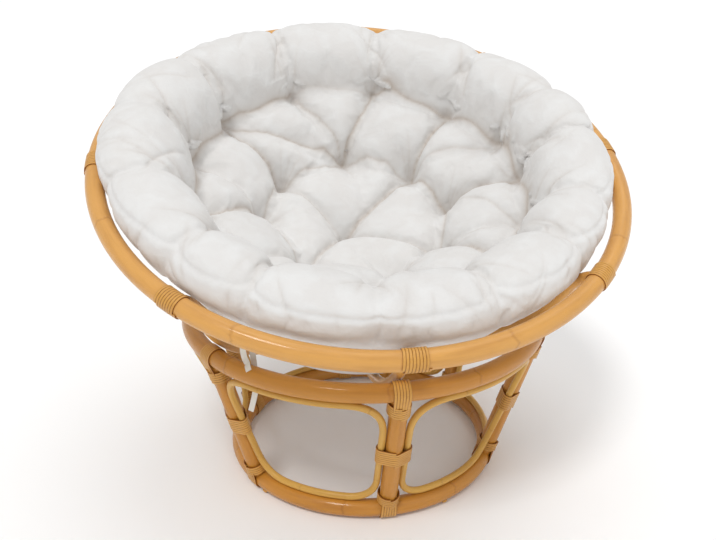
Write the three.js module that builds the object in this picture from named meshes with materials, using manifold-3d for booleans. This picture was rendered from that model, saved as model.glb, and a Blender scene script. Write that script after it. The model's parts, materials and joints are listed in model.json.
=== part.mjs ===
// Papasan chair: a tufted round cushion in a bowl of rattan poles, resting loose on a ring stand.
// Units are millimetres, +Z is up and the front of the chair faces -Y.
// The stand is built round the Z axis. The bowl has its own frame, with its origin at the centre
// of the sphere that the outer sides of its ribs lie on, and tilts about that centre.
import * as THREE from 'three';
import { mergeVertices } from 'three/addons/utils/BufferGeometryUtils.js';
import Module from 'manifold-3d';

const wasm = await Module();
wasm.setup();

// Fits
const gap = 0.3;              // clearance between pieces that touch
const overrun = 20;           // how far a cutting body passes what it cuts
const fullTurn = 2 * Math.PI;

// Stand
const ringPoleRadius = 18;    // both rings are bent from the same pole
const bottomRingRadius = 283.2; // to the middle of the pole
const seatAngle = 44.24 * Math.PI / 180; // from the bowl's lowest point to where it rests on the upper ring
const standHeight = 350;      // floor to the top of the upper ring
const legRadius = 17.5;
const legCount = 6;
const legEndInset = 7;        // the coped end stops this far short of the ring's middle
const hoopRadius = 7;         // thin cane hoop in each panel
const hoopTopCorner = 78;
const hoopBottomCorner = 56;

// Cane lashings
const strapThickness = 2.2;
const strapClearance = 1;
const strapWidth = 28;
const strapSeat = 9;          // how far its ends run under the winding on the leg
const strapWear = 0.4;        // worn flat under the chair
const strandInner = 1.5;      // thickness of a strand at its edge
const strandCrest = 2.5;      // thickness of a strand at its middle
const strandGap = 0.6;        // between neighbouring turns of a strand on a leg
const strandBevel = 0.9;      // each long edge of such a strand is drawn in by this on its outer face
const topNeckPitch = 9.5;
const bottomNeckPitch = 7.5;
const neckTurns = 3;
const middlePitch = 8.5;
const middleTurns = 4;
const middleSlack = 1.1;      // the hoops lean a little against the leg
const rimPitch = 8.4;
const rimTurns = 4;

// Bowl
const rimFlare = 38;          // how far the rim's outside stands beyond the bowl's sphere
const rimPoleRadius = 18.2;
const rimDrop = 62;           // from the sphere's centre to the plane of the rim
const bowlRadius = 512;       // the sphere that the ribs' outer sides lie on
const bowlTilt = 24.25 * Math.PI / 180;
const ribCount = 8;
const ribRadius = 11;
const ribEndOverhang = 16;    // rib's end beyond the middle of the bottom hoop
const ribBendAngle = 76 * Math.PI / 180; // from the bowl's lowest point to where a rib bends out to the rim
const bowlHoopRadius = 215;   // to the middle of the pole
const bowlHoopPole = 10;

// Cushion, measured from the plane of the rim and from the bowl's axis
const cushionRimGap = 10.6;   // from the cushion's side to the inside of the rim
const cushionSideHeight = 24;
const borderReach = 57;       // from the border's crest out to the cushion's side
const crestHeight = 76;
const creaseInset = 96;       // from the border's crest in to the crease that the outer tufts lie in
const creaseDepth = 70;       // that crease under the plane of the rim
const dishDepth = 240;        // tufts at the middle of the seat
const padPuff = 60;           // pads between the tufts stand this proud of them
const padReach = 60;          // how far from a fold the cloth rises to a pad
const lobePuff = 12;          // lobes of the border stand this proud of its folds
const sideTuck = 7;           // folds draw the side in by this
const lobeSwell = 12;         // a full lobe stands this much higher and wider than an even one
const cushionLiftAngle = 44 * Math.PI / 180; // from the bowl's lowest point to where the cushion leaves it

// Tufts: each ring's radius as a share of the crease's, and places counted from the front to the right
const tuftPlaces = 56;
const middleTuftRadiusShare = 0.08;
const middleTuftPlaces = [42];
const innerTuftRadiusShare = 0.59;
const innerTuftPlaces = [2, 8, 15, 21, 28, 36, 42, 50];
const outerTuftRadiusShare = 1;
const outerTuftPlaces = [3, 7, 10, 14, 17, 21, 26, 31, 36, 40, 44, 48, 51, 55];

// How full each lobe of the border is, from 0, slack, to 1, full: the lobe before each outer tuft
const lobeFullShares = [0.5, 0.5, 0.3, 0.3, 0.7, 0.3, 0, 0.1, 0.4, 1, 0.9, 0.5, 0.5, 0.5];

// How deep the folds are, as shares of the pads' height: from each tuft to the next in its ring, and
// from one numbered tuft to another in the ring outside it
const innerFoldShares = [0.6, 0.6, 0.9, 0.6, 0.6, 0.6, 0.6, 0.6];
const outerFoldShares = [0.9, 0.9, 0.9, 0.9, 0.9, 0.9, 0.35, 0.9, 0.9, 0.9, 0.9, 0.9, 0.9, 0.9];
const middleFoldShares = [[0, 1, 0.5], [0, 3, 0.8], [0, 5, 0.4], [0, 7, 0.6]];
const radialFoldShares = [
  [0, 13, 0.7], [0, 0, 0.7], [1, 1, 0.8], [1, 2, 0.5], [2, 3, 0.9], [2, 2, 0.4], [3, 5, 0.9], [3, 4, 0.4],
  [4, 6, 0.9], [4, 7, 0.6], [4, 8, 0.8], [5, 8, 0.9], [6, 9, 0.5], [6, 10, 0.8], [7, 11, 0.8], [7, 12, 0.6],
];

// Derived places
const legAzimuth = Array.from({ length: legCount }, (_, i) => fullTurn * i / legCount);
const ribAzimuth = Array.from({ length: ribCount }, (_, i) => fullTurn * i / ribCount);
const strapInner = ringPoleRadius + strapClearance;
const strapOuter = strapInner + strapThickness;
const strapSteps = 6;         // straight facets of a strap's half turn round a ring
const contactSphere = bowlRadius + gap + strapOuter;
const topRingRadius = contactSphere * Math.sin(seatAngle);
const bottomRingHeight = strapOuter * Math.cos(Math.PI / (2 * strapSteps)) - strapWear;
const topRingHeight = standHeight - ringPoleRadius;
const legRise = topRingHeight - bottomRingHeight;
const legSpread = topRingRadius - bottomRingRadius;
const legLean = Math.atan2(legSpread, legRise);
const hoopSeat = ringPoleRadius + hoopRadius + gap;
const hoopBottom = bottomRingHeight + hoopSeat;
const hoopTop = topRingHeight - hoopSeat;
const rimRadius = bowlRadius + rimFlare - rimPoleRadius;
const ribSphere = bowlRadius - ribRadius;
const bowlHoopSphere = ribSphere - ribRadius - gap - bowlHoopPole;
const bowlHoopAngle = Math.asin(bowlHoopRadius / bowlHoopSphere);
const ribLowAngle = bowlHoopAngle - ribEndOverhang / ribSphere;
const ribSteps = 8;
const ribHalfStep = (ribBendAngle - ribLowAngle) / (2 * ribSteps);
const bowlCentreHeight = topRingHeight + contactSphere * Math.cos(seatAngle);
const cushionRadius = rimRadius - rimPoleRadius - cushionRimGap;
const crestRadius = cushionRadius - borderReach;
const creaseRadius = crestRadius - creaseInset;

// Looks
const looks = {
  pole: { color: 0xc98f4e, roughness: 0.35, metalness: 0 },
  cane: { color: 0xd9ac63, roughness: 0.42, metalness: 0 },
  lashing: { color: 0xd6a25c, roughness: 0.45, metalness: 0 },
  cloth: { color: 0xe9e7e4, roughness: 0.95, metalness: 0 },
};
const materials = Object.fromEntries(
  Object.entries(looks).map(([name, look]) => [name, new THREE.MeshStandardMaterial(look)]),
);

// Geometry tools

function geometryFrom(points, triangles) {
  const geometry = new THREE.BufferGeometry();
  const flat = points.flatMap((point) => [point.x, point.y, point.z]);
  geometry.setAttribute('position', new THREE.Float32BufferAttribute(flat, 3));
  geometry.setIndex(triangles.flat());
  return geometry;
}

function toSolid(geometry) {
  const plain = geometry.clone();
  plain.deleteAttribute('normal');
  plain.deleteAttribute('uv');
  const merged = mergeVertices(plain);
  return new wasm.Manifold(new wasm.Mesh({
    numProp: 3,
    vertProperties: new Float32Array(merged.attributes.position.array),
    triVerts: new Uint32Array(merged.index.array),
  }));
}

function fromSolid(solid) {
  const mesh = solid.getMesh();
  const geometry = new THREE.BufferGeometry();
  geometry.setAttribute('position', new THREE.Float32BufferAttribute(mesh.vertProperties, 3));
  geometry.setIndex(new THREE.Uint32BufferAttribute(mesh.triVerts, 1));
  return geometry;
}

// A pole bent into a ring. Its straight facets are centred on the places where legs and ribs meet it.
function ringGeometry(radius, poleRadius, sides, steps) {
  const halfStep = Math.PI / steps;
  const ring = new THREE.TorusGeometry(radius / Math.cos(halfStep), poleRadius, sides, steps);
  return ring.rotateZ(halfStep - fullTurn / 4);
}

// A tube through the given centres. Each outward vector fixes how its section is turned.
function tubeGeometry(centres, outwards, radius, sides, closed) {
  const count = centres.length;
  const last = count - 1;
  const points = [];
  centres.forEach((centre, i) => {
    const before = centres[closed ? (i + last) % count : Math.max(i - 1, 0)];
    const after = centres[closed ? (i + 1) % count : Math.min(i + 1, last)];
    const along = after.clone().sub(before).normalize();
    const across = along.clone().cross(outwards[i]).normalize();
    const outward = across.clone().cross(along);
    for (let side = 0; side < sides; side += 1) {
      const angle = fullTurn * side / sides;
      points.push(centre.clone()
        .addScaledVector(outward, radius * Math.cos(angle))
        .addScaledVector(across, radius * Math.sin(angle)));
    }
  });
  const triangles = [];
  for (let i = 0; i < (closed ? count : last); i += 1) {
    for (let side = 0; side < sides; side += 1) {
      const a = i * sides + side;
      const b = i * sides + (side + 1) % sides;
      const c = ((i + 1) % count) * sides + (side + 1) % sides;
      const d = ((i + 1) % count) * sides + side;
      triangles.push([a, b, c], [a, c, d]);
    }
  }
  if (!closed) {
    for (let side = 1; side < sides - 1; side += 1) {
      triangles.push([0, side + 1, side]);
      triangles.push([last * sides, last * sides + side, last * sides + side + 1]);
    }
  }
  return geometryFrom(points, triangles);
}

// One strand of cane wound edge to edge. outline(step, height) gives a point round the bundle at a
// height over its surface, and the winding climbs along +Z of its own frame, centred on zero.
function windingGeometry(outline, steps, turns, pitch) {
  const edgeCount = steps * (turns + 1);
  const crestCount = steps * turns;
  const start = -pitch * (turns + 1) / 2;
  const points = [];
  const push = (step, height, climb) => {
    const [x, y] = outline(step % steps, height);
    points.push(new THREE.Vector3(x, y, start + pitch * (step / steps + climb)));
  };
  for (let step = 0; step <= edgeCount; step += 1) push(step, 0, 0);
  for (let step = 0; step <= edgeCount; step += 1) push(step, strandInner, 0);
  for (let step = 0; step <= crestCount; step += 1) push(step, strandCrest, 1 / 2);
  const inner = (step) => step;
  const edge = (step) => edgeCount + 1 + step;
  const crest = (step) => 2 * (edgeCount + 1) + step;
  const triangles = [];
  const quad = (a, b, c, d) => triangles.push([a, b, c], [a, c, d]);
  for (let step = 0; step < crestCount; step += 1) {
    quad(edge(step), edge(step + 1), crest(step + 1), crest(step));
    quad(crest(step), crest(step + 1), edge(step + 1 + steps), edge(step + steps));
    quad(inner(step), inner(step + steps), inner(step + 1 + steps), inner(step + 1));
  }
  for (let step = 0; step < steps; step += 1) {
    const end = crestCount + step;
    quad(inner(step), inner(step + 1), edge(step + 1), edge(step));
    quad(inner(end), edge(end), edge(end + 1), inner(end + 1));
  }
  for (const [step, turned] of [[0, false], [crestCount, true]]) {
    const rim = [inner(step), edge(step), crest(step), edge(step + steps), inner(step + steps)];
    if (turned) rim.reverse();
    triangles.push([rim[0], rim[1], rim[2]], [rim[0], rim[2], rim[3]], [rim[0], rim[3], rim[4]]);
  }
  return geometryFrom(points, triangles);
}

// Least distance between points of a strand that lie at least half a turn apart along it
function leastTurnGap(points, pointsPerStep, steps) {
  let least = Infinity;
  for (let i = 0; i < points.length; i += 1) {
    const firstAway = (Math.floor(i / pointsPerStep) + steps / 2) * pointsPerStep;
    for (let j = firstAway; j < points.length; j += 1) {
      least = Math.min(least, points[i].distanceTo(points[j]));
    }
  }
  return least;
}

// One unbroken strand of flat cane wound round an outline with a gap between its turns. It climbs
// along +Z of its own frame, centred on zero, over a filling as thick as the straps that it covers.
function strandGeometry(name, outline, steps, turns, pitch, filling) {
  const halfWidth = (pitch - strandGap) / 2;
  const section = [
    [0, -halfWidth],
    [filling + strandCrest, strandBevel - halfWidth],
    [filling + strandCrest, halfWidth - strandBevel],
    [0, halfWidth],
  ];
  const sides = section.length;
  const last = steps * turns;
  const points = [];
  for (let step = 0; step <= last; step += 1) {
    for (const [height, climb] of section) {
      const [x, y] = outline(step % steps, height);
      points.push(new THREE.Vector3(x, y, pitch * (step / steps - turns / 2) + climb));
    }
  }
  console.log(`${name}: least gap between turns ${leastTurnGap(points, sides, steps).toFixed(2)} mm`);
  const triangles = [];
  for (let step = 0; step < last; step += 1) {
    for (let side = 0; side < sides; side += 1) {
      const a = step * sides + side;
      const b = step * sides + (side + 1) % sides;
      triangles.push([a, a + sides, b + sides], [a, b + sides, b]);
    }
  }
  const end = last * sides;
  triangles.push([0, 1, 2], [0, 2, 3], [end, end + 2, end + 1], [end, end + 3, end + 2]);
  return geometryFrom(points, triangles);
}

function roundOutline(radius, sides) {
  return (step, height) => {
    const angle = fullTurn * step / sides;
    return [(radius + height) * Math.cos(angle), (radius + height) * Math.sin(angle)];
  };
}

// The line round several round bars, each given by its middle and radius.
function bundleOutline(bars, sides) {
  return (step, height) => {
    const angle = fullTurn * step / sides;
    const direction = new THREE.Vector2(Math.cos(angle), Math.sin(angle));
    const reach = (bar) => bar.middle.dot(direction) + bar.radius;
    const outer = bars.reduce((best, bar) => (reach(bar) > reach(best) ? bar : best));
    const radius = outer.radius / Math.cos(Math.PI / sides) + height;
    const point = outer.middle.clone().addScaledVector(direction, radius);
    return [point.x, point.y];
  };
}

const chair = new THREE.Group();
const bowl = new THREE.Group();
bowl.position.z = bowlCentreHeight;
bowl.rotation.x = bowlTilt;
chair.add(bowl);

function addPiece(parent, name, geometry, look) {
  const piece = new THREE.Mesh(geometry, materials[look]);
  piece.name = name;
  parent.add(piece);
  return piece;
}

// Directions from the front, counted to the right when seen from the sitter's front
const outwardAt = (azimuth) => new THREE.Vector3(Math.sin(azimuth), -Math.cos(azimuth), 0);

// Stand

const ringSides = 10;
const topRingSteps = 48;
const bottomRingSteps = 42;

function topRingGeometry(clearance) {
  return ringGeometry(topRingRadius, ringPoleRadius + clearance, ringSides, topRingSteps)
    .translate(0, 0, topRingHeight);
}

function bottomRingGeometry(clearance) {
  return ringGeometry(bottomRingRadius, ringPoleRadius + clearance, ringSides, bottomRingSteps)
    .translate(0, 0, bottomRingHeight);
}

// Frame of a leg: Z runs up its middle from the bottom ring, X points out of the stand.
function legFrame(azimuth, alongShare) {
  const radius = bottomRingRadius + legSpread * alongShare;
  const height = bottomRingHeight + legRise * alongShare;
  const turn = new THREE.Matrix4().makeRotationZ(azimuth - fullTurn / 4);
  const lean = new THREE.Matrix4().makeRotationY(legLean);
  const place = outwardAt(azimuth).multiplyScalar(radius).setZ(height);
  return new THREE.Matrix4().makeTranslation(place.x, place.y, place.z).multiply(turn).multiply(lean);
}

function legGeometry(azimuth) {
  const length = Math.hypot(legRise, legSpread) - 2 * legEndInset;
  const pole = new THREE.CylinderGeometry(legRadius, legRadius, length, ringSides)
    .rotateX(fullTurn / 4)
    .rotateZ(fullTurn / 4)
    .applyMatrix4(legFrame(azimuth, 1 / 2));
  const coped = toSolid(pole)
    .subtract(toSolid(topRingGeometry(gap)))
    .subtract(toSolid(bottomRingGeometry(gap)));
  return fromSolid(coped);
}

// Half width of a panel hoop, measured round the stand, beside a leg that its side runs along
function hoopHalfWidth(radius) {
  const sideOffset = legRadius + hoopRadius + gap;
  return radius * (Math.PI / legCount - Math.asin(sideOffset / radius));
}

// Thin cane bent into a closed hoop with round corners, standing on the bottom ring between two
// legs and held under the top ring. Its outline is drawn flat and then rolled round the stand.
function panelHoopGeometry(azimuth) {
  const height = hoopTop - hoopBottom;
  const bottomHalf = hoopHalfWidth(bottomRingRadius);
  const topHalf = hoopHalfWidth(topRingRadius);
  const sideDirection = new THREE.Vector2(topHalf - bottomHalf, height).normalize();
  const bottomCorner = new THREE.Vector2(bottomHalf, 0);
  const topCorner = new THREE.Vector2(topHalf, height);
  const bottomEnd = new THREE.Vector2(bottomHalf - hoopBottomCorner, 0);
  const topEnd = new THREE.Vector2(topHalf - hoopTopCorner, height);
  const sideLow = bottomCorner.clone().addScaledVector(sideDirection, hoopBottomCorner);
  const sideHigh = topCorner.clone().addScaledVector(sideDirection, -hoopTopCorner);
  const mirror = (point) => new THREE.Vector2(-point.x, point.y);
  const runs = [
    [new THREE.LineCurve(mirror(bottomEnd), bottomEnd), 4],
    [new THREE.QuadraticBezierCurve(bottomEnd, bottomCorner, sideLow), 4],
    [new THREE.LineCurve(sideLow, sideHigh), 3],
    [new THREE.QuadraticBezierCurve(sideHigh, topCorner, topEnd), 5],
    [new THREE.LineCurve(topEnd, mirror(topEnd)), 6],
    [new THREE.QuadraticBezierCurve(mirror(topEnd), mirror(topCorner), mirror(sideHigh)), 5],
    [new THREE.LineCurve(mirror(sideHigh), mirror(sideLow)), 3],
    [new THREE.QuadraticBezierCurve(mirror(sideLow), mirror(bottomCorner), mirror(bottomEnd)), 4],
  ];
  const flat = runs.flatMap(([curve, steps]) => curve.getPoints(steps).slice(0, -1));
  const centres = [];
  const outwards = [];
  for (const point of flat) {
    const radius = bottomRingRadius + legSpread * point.y / height;
    const outward = outwardAt(azimuth + point.x / radius);
    centres.push(outward.clone().multiplyScalar(radius).setZ(hoopBottom + point.y));
    outwards.push(outward);
  }
  return tubeGeometry(centres, outwards, hoopRadius, 6, true);
}

// A strap over the ring, down both faces of the leg, and a winding round the leg that holds it.
// The joint's own frame has the ring's middle at zero and the leg along +Z.
function jointLashingSolid(name, frame, neckPitch) {
  const strapEnd = strapOuter + strapSeat;
  const loop = new THREE.Shape();
  loop.moveTo(strapOuter, strapEnd);
  loop.absarc(0, 0, strapOuter, 0, Math.PI, true);
  loop.lineTo(-strapOuter, strapEnd);
  loop.lineTo(-strapInner, strapEnd);
  loop.absarc(0, 0, strapInner, Math.PI, 0, false);
  loop.lineTo(strapInner, strapEnd);
  loop.closePath();
  const shape = { depth: strapWidth, bevelEnabled: false, curveSegments: strapSteps / 2 };
  const strap = new THREE.ExtrudeGeometry(loop, shape)
    .translate(0, 0, -strapWidth / 2)
    .rotateX(fullTurn / 4);
  const neckLength = neckPitch * (neckTurns + 1);
  const neckSides = 8;
  const neckOutline = roundOutline((legRadius + gap) / Math.cos(Math.PI / neckSides), neckSides);
  const neck = strandGeometry(name, neckOutline, neckSides, neckTurns, neckPitch, strapThickness)
    .translate(0, 0, strapOuter + neckLength / 2);
  return toSolid(strap.applyMatrix4(frame)).add(toSolid(neck.applyMatrix4(frame)));
}

function topLashingGeometry(name, azimuth) {
  const upsideDown = new THREE.Matrix4().makeRotationX(fullTurn / 2);
  const frame = legFrame(azimuth, 1).multiply(upsideDown);
  return fromSolid(jointLashingSolid(name, frame, topNeckPitch));
}

// Its strap is worn flat on the floor.
function bottomLashingGeometry(name, azimuth) {
  const reach = 2 * (bottomRingRadius + strapOuter + overrun);
  const floor = new THREE.BoxGeometry(reach, reach, overrun).translate(0, 0, -overrun / 2);
  const lashing = jointLashingSolid(name, legFrame(azimuth, 0), bottomNeckPitch);
  return fromSolid(lashing.subtract(toSolid(floor)));
}

// Winding round the middle of a leg and the hoops on both sides of it
function middleLashingGeometry(name, azimuth) {
  const hoopOffset = legRadius + gap + hoopRadius;
  const bars = [
    { middle: new THREE.Vector2(0, 0), radius: legRadius + gap },
    { middle: new THREE.Vector2(0, hoopOffset), radius: hoopRadius + middleSlack },
    { middle: new THREE.Vector2(0, -hoopOffset), radius: hoopRadius + middleSlack },
  ];
  const sides = 8;
  return strandGeometry(name, bundleOutline(bars, sides), sides, middleTurns, middlePitch, 0)
    .applyMatrix4(legFrame(azimuth, 1 / 2));
}

addPiece(chair, 'base_top_ring', topRingGeometry(0), 'pole');
addPiece(chair, 'base_bottom_ring', bottomRingGeometry(0), 'pole');
legAzimuth.forEach((azimuth, i) => {
  const number = i + 1;
  const panelAzimuth = azimuth + Math.PI / legCount;
  addPiece(chair, `leg_${number}`, legGeometry(azimuth), 'pole');
  addPiece(chair, `panel_hoop_${number}`, panelHoopGeometry(panelAzimuth), 'cane');
  const lashings = { top: topLashingGeometry, middle: middleLashingGeometry, bottom: bottomLashingGeometry };
  for (const [place, makeLashing] of Object.entries(lashings)) {
    const name = `${place}_lashing_${number}`;
    addPiece(chair, name, makeLashing(name, azimuth), 'lashing');
  }
});

// Bowl

const rimSides = 10;
const rimSteps = 56;

function rimGeometry(clearance) {
  return ringGeometry(rimRadius, rimPoleRadius + clearance, rimSides, rimSteps).translate(0, 0, -rimDrop);
}

// Middle line of a rib: round the bowl's sphere from its low end, then bent out to the rim's middle
function ribCentres(azimuth) {
  const outward = outwardAt(azimuth);
  const onSphere = (angle) => outward.clone()
    .multiplyScalar(ribSphere * Math.sin(angle))
    .setZ(-ribSphere * Math.cos(angle));
  const centres = [];
  for (let step = 0; step < ribSteps; step += 1) {
    centres.push(onSphere(ribLowAngle + (ribBendAngle - ribLowAngle) * step / ribSteps));
  }
  const bendStart = onSphere(ribBendAngle);
  const rimMiddle = outward.clone().multiplyScalar(rimRadius).setZ(-rimDrop);
  const climb = bendStart.distanceTo(rimMiddle) / 2;
  const control = bendStart.clone()
    .addScaledVector(outward, climb * Math.cos(ribBendAngle))
    .add(new THREE.Vector3(0, 0, climb * Math.sin(ribBendAngle)));
  const end = rimMiddle.clone().lerp(control, legEndInset / climb);
  return centres.concat(new THREE.QuadraticBezierCurve3(bendStart, control, end).getPoints(3));
}

function ribGeometry(azimuth, clearance) {
  const centres = ribCentres(azimuth);
  const outwards = centres.map((centre) => centre.clone().normalize());
  return tubeGeometry(centres, outwards, ribRadius + clearance, 8, false);
}

function copedRibGeometry(azimuth) {
  return fromSolid(toSolid(ribGeometry(azimuth, 0)).subtract(toSolid(rimGeometry(gap))));
}

// Winding round the rim over a rib's end, open where the rib comes through it
function rimLashingGeometry(azimuth) {
  const middle = outwardAt(azimuth).multiplyScalar(rimRadius).setZ(-rimDrop);
  const frame = new THREE.Matrix4()
    .makeTranslation(middle.x, middle.y, middle.z)
    .multiply(new THREE.Matrix4().makeRotationZ(azimuth - fullTurn / 4))
    .multiply(new THREE.Matrix4().makeRotationX(-fullTurn / 4));
  const sides = 8;
  const outline = roundOutline((rimPoleRadius + gap) / Math.cos(Math.PI / sides), sides);
  const winding = windingGeometry(outline, sides, rimTurns, rimPitch);
  return fromSolid(toSolid(winding.applyMatrix4(frame)).subtract(toSolid(ribGeometry(azimuth, gap))));
}

addPiece(bowl, 'bowl_rim', rimGeometry(0), 'pole');
const bowlHoop = ringGeometry(bowlHoopRadius, bowlHoopPole, 8, 32)
  .translate(0, 0, -bowlHoopSphere * Math.cos(bowlHoopAngle));
addPiece(bowl, 'bowl_bottom_hoop', bowlHoop, 'pole');
ribAzimuth.forEach((azimuth, i) => {
  const number = i + 1;
  addPiece(bowl, `bowl_rib_${number}`, copedRibGeometry(azimuth), 'pole');
  addPiece(bowl, `rim_lashing_${number}`, rimLashingGeometry(azimuth), 'lashing');
});

// Cushion

function tuftRing(radiusShare, places) {
  const radius = creaseRadius * radiusShare;
  return places.map((place) => outwardAt(fullTurn * place / tuftPlaces).multiplyScalar(radius));
}

const middleTufts = tuftRing(middleTuftRadiusShare, middleTuftPlaces);
const innerTufts = tuftRing(innerTuftRadiusShare, innerTuftPlaces);
const outerTufts = tuftRing(outerTuftRadiusShare, outerTuftPlaces);
const tufts = [...middleTufts, ...innerTufts, ...outerTufts];

// Each fold as its start, its end and its depth
const folds = [
  ...innerTufts.map((tuft, i) => [tuft, innerTufts[(i + 1) % innerTufts.length], innerFoldShares[i]]),
  ...outerTufts.map((tuft, i) => [tuft, outerTufts[(i + 1) % outerTufts.length], outerFoldShares[i]]),
  ...middleFoldShares.map(([from, to, share]) => [middleTufts[from], innerTufts[to], share]),
  ...radialFoldShares.map(([from, to, share]) => [innerTufts[from], outerTufts[to], share]),
];

// 0 in a fold, rising as a stuffed pad does to 1 at its reach
function pillowShare(distance, reach) {
  const away = Math.min(distance / reach, 1);
  return Math.sqrt(1 - (1 - away) ** 2);
}

// 0 in a fold that runs out from an outer tuft, 1 on the lobe between two folds
function lobeShare(azimuth) {
  const away = outerTuftPlaces.map((place) => {
    const turns = Math.abs(azimuth / fullTurn - place / tuftPlaces) % 1;
    return Math.min(turns, 1 - turns);
  });
  const halfLobeTurns = 1 / (2 * outerTuftPlaces.length);
  return pillowShare(Math.min(...away), halfLobeTurns);
}

// How far the border stands out at an azimuth beyond an even one, going from lobe to lobe
function lobeRise(azimuth) {
  const count = outerTuftPlaces.length;
  const around = (places) => (places + tuftPlaces) % tuftPlaces;
  const middles = outerTuftPlaces.map((place, i) => {
    const before = outerTuftPlaces[(i + count - 1) % count];
    return around(place - around(place - before) / 2);
  });
  const place = around(tuftPlaces * azimuth / fullTurn);
  const next = Math.max(middles.findIndex((middle) => middle > place), 0);
  const last = (next + count - 1) % count;
  const along = around(place - middles[last]) / around(middles[next] - middles[last]);
  const full = THREE.MathUtils.lerp(lobeFullShares[last], lobeFullShares[next], along);
  return lobeSwell * (2 * full - 1);
}

// Share of the pads' height at a place on the seat. A fold is deepest at its ends.
function padShare(place) {
  let share = Math.min(...tufts.map((tuft) => pillowShare(tuft.distanceTo(place), padReach)));
  for (const [start, end, depth] of folds) {
    const line = new THREE.Line3(start, end);
    const along = line.closestPointToPointParameter(place, true);
    const away = line.at(along, new THREE.Vector3()).distanceTo(place);
    const nearEnd = Math.abs(2 * along - 1);
    share *= 1 - depth * (1 + nearEnd) / 2 * (1 - pillowShare(away, padReach));
  }
  return share;
}

// Height of the seat, dished towards its middle and drawn down along its folds
function seatHeight(place) {
  const valley = -dishDepth + (dishDepth - creaseDepth) * (place.length() / creaseRadius) ** 2;
  return valley + padPuff * padShare(place);
}

// Section of the border's inner wall, from the crease at share 0 up to the crest at share 1
function wallPoint(share, azimuth) {
  const foot = seatHeight(outwardAt(azimuth).multiplyScalar(creaseRadius));
  const crest = crestHeight + lobeRise(azimuth) - lobePuff * (1 - lobeShare(azimuth));
  return [creaseRadius + creaseInset * share, foot + (crest - foot) * pillowShare(share, 1)];
}

// Section of the border from its crest, at angle 0, round to its side, at a quarter turn
function borderPoint(angle, azimuth) {
  const fold = 1 - lobeShare(azimuth);
  const rise = lobeRise(azimuth);
  const reach = (cushionRadius + rise - crestRadius - sideTuck * fold) * Math.sin(angle);
  const climb = (crestHeight + rise - lobePuff * fold - cushionSideHeight) * Math.cos(angle);
  return [crestRadius + reach, cushionSideHeight + climb];
}

// Section of the underside, from the side down to the bowl, which it follows over ribs and hoop
function undersidePoints(azimuth) {
  const ribFace = ribSphere * Math.cos(ribHalfStep) - ribRadius - gap;
  const hoopFace = bowlHoopSphere - bowlHoopPole - gap;
  const hoopEdgeAngle = bowlHoopAngle + bowlHoopPole / bowlHoopSphere;
  const onSphere = (radius, angle) => [radius * Math.sin(angle), rimDrop - radius * Math.cos(angle)];
  const [liftRadius, liftHeight] = onSphere(ribFace, cushionLiftAngle);
  const freeShares = [[0.82, 0.25], [0.58, 0.50], [0.26, 0.76]];
  const fold = 1 - lobeShare(azimuth);
  const free = freeShares.map(([outShare, downShare]) => [
    liftRadius + (cushionRadius - sideTuck * fold - liftRadius) * outShare,
    cushionSideHeight + (liftHeight - cushionSideHeight) * downShare,
  ]);
  const restShares = [1, 0.56, 0.12];
  const rest = restShares.map((share) => {
    const angle = hoopEdgeAngle + (cushionLiftAngle - hoopEdgeAngle) * share;
    return onSphere(ribFace, angle);
  });
  const overHoop = [hoopEdgeAngle, bowlHoopAngle / 2].map((angle) => onSphere(hoopFace, angle));
  return [...free, ...rest, ...overHoop];
}

const cushionSeatShares = [0.18, 0.35, 0.48, 0.59, 0.72, 0.86, 1];
const cushionWallShares = [0.22, 0.55];
const cushionBorderAngles = [0, 0.4, 0.8, 1.2, fullTurn / 4];

function cushionGeometry() {
  const hoopFace = bowlHoopSphere - bowlHoopPole - gap;
  const points = [new THREE.Vector3(0, 0, seatHeight(new THREE.Vector3()))];
  for (let step = 0; step < tuftPlaces; step += 1) {
    const azimuth = fullTurn * step / tuftPlaces;
    const outward = outwardAt(azimuth);
    const seat = cushionSeatShares.map((share) => {
      const place = outward.clone().multiplyScalar(creaseRadius * share);
      return [place.length(), seatHeight(place)];
    });
    const wall = cushionWallShares.map((share) => wallPoint(share, azimuth));
    const border = cushionBorderAngles.map((angle) => borderPoint(angle, azimuth));
    for (const [radius, height] of [...seat, ...wall, ...border, ...undersidePoints(azimuth)]) {
      points.push(outward.clone().multiplyScalar(radius).setZ(height));
    }
  }
  points.push(new THREE.Vector3(0, 0, rimDrop - hoopFace));
  const rows = (points.length - 2) / tuftPlaces;
  const bottom = points.length - 1;
  const at = (step, row) => 1 + (step % tuftPlaces) * rows + row;
  const triangles = [];
  for (let step = 0; step < tuftPlaces; step += 1) {
    triangles.push([0, at(step, 0), at(step + 1, 0)]);
    triangles.push([bottom, at(step + 1, rows - 1), at(step, rows - 1)]);
    for (let row = 0; row < rows - 1; row += 1) {
      const [a, b, c, d] = [at(step, row), at(step, row + 1), at(step + 1, row + 1), at(step + 1, row)];
      const direct = points[a].distanceTo(points[c]) < points[b].distanceTo(points[d]);
      if (direct) triangles.push([a, b, c], [a, c, d]);
      else triangles.push([a, b, d], [b, c, d]);
    }
  }
  return geometryFrom(points, triangles).translate(0, 0, -rimDrop);
}

addPiece(bowl, 'cushion', cushionGeometry(), 'cloth');

const box = new THREE.Box3().setFromObject(chair, true);
const middle = box.getCenter(new THREE.Vector3());
chair.position.set(-middle.x, -middle.y, 0);

export default chair;
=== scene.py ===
"""Papasan chair: a tufted round cushion in a bowl of varnished rattan, resting on a lashed ring stand.

The part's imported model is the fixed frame. Each operator below dresses one group of its pieces.
All sizes are metres in the part's own frame: +Z up, the front of the chair towards -Y.
"""

import json
import math

import bpy
import numpy as np
from mathutils import Matrix, Vector


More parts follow.
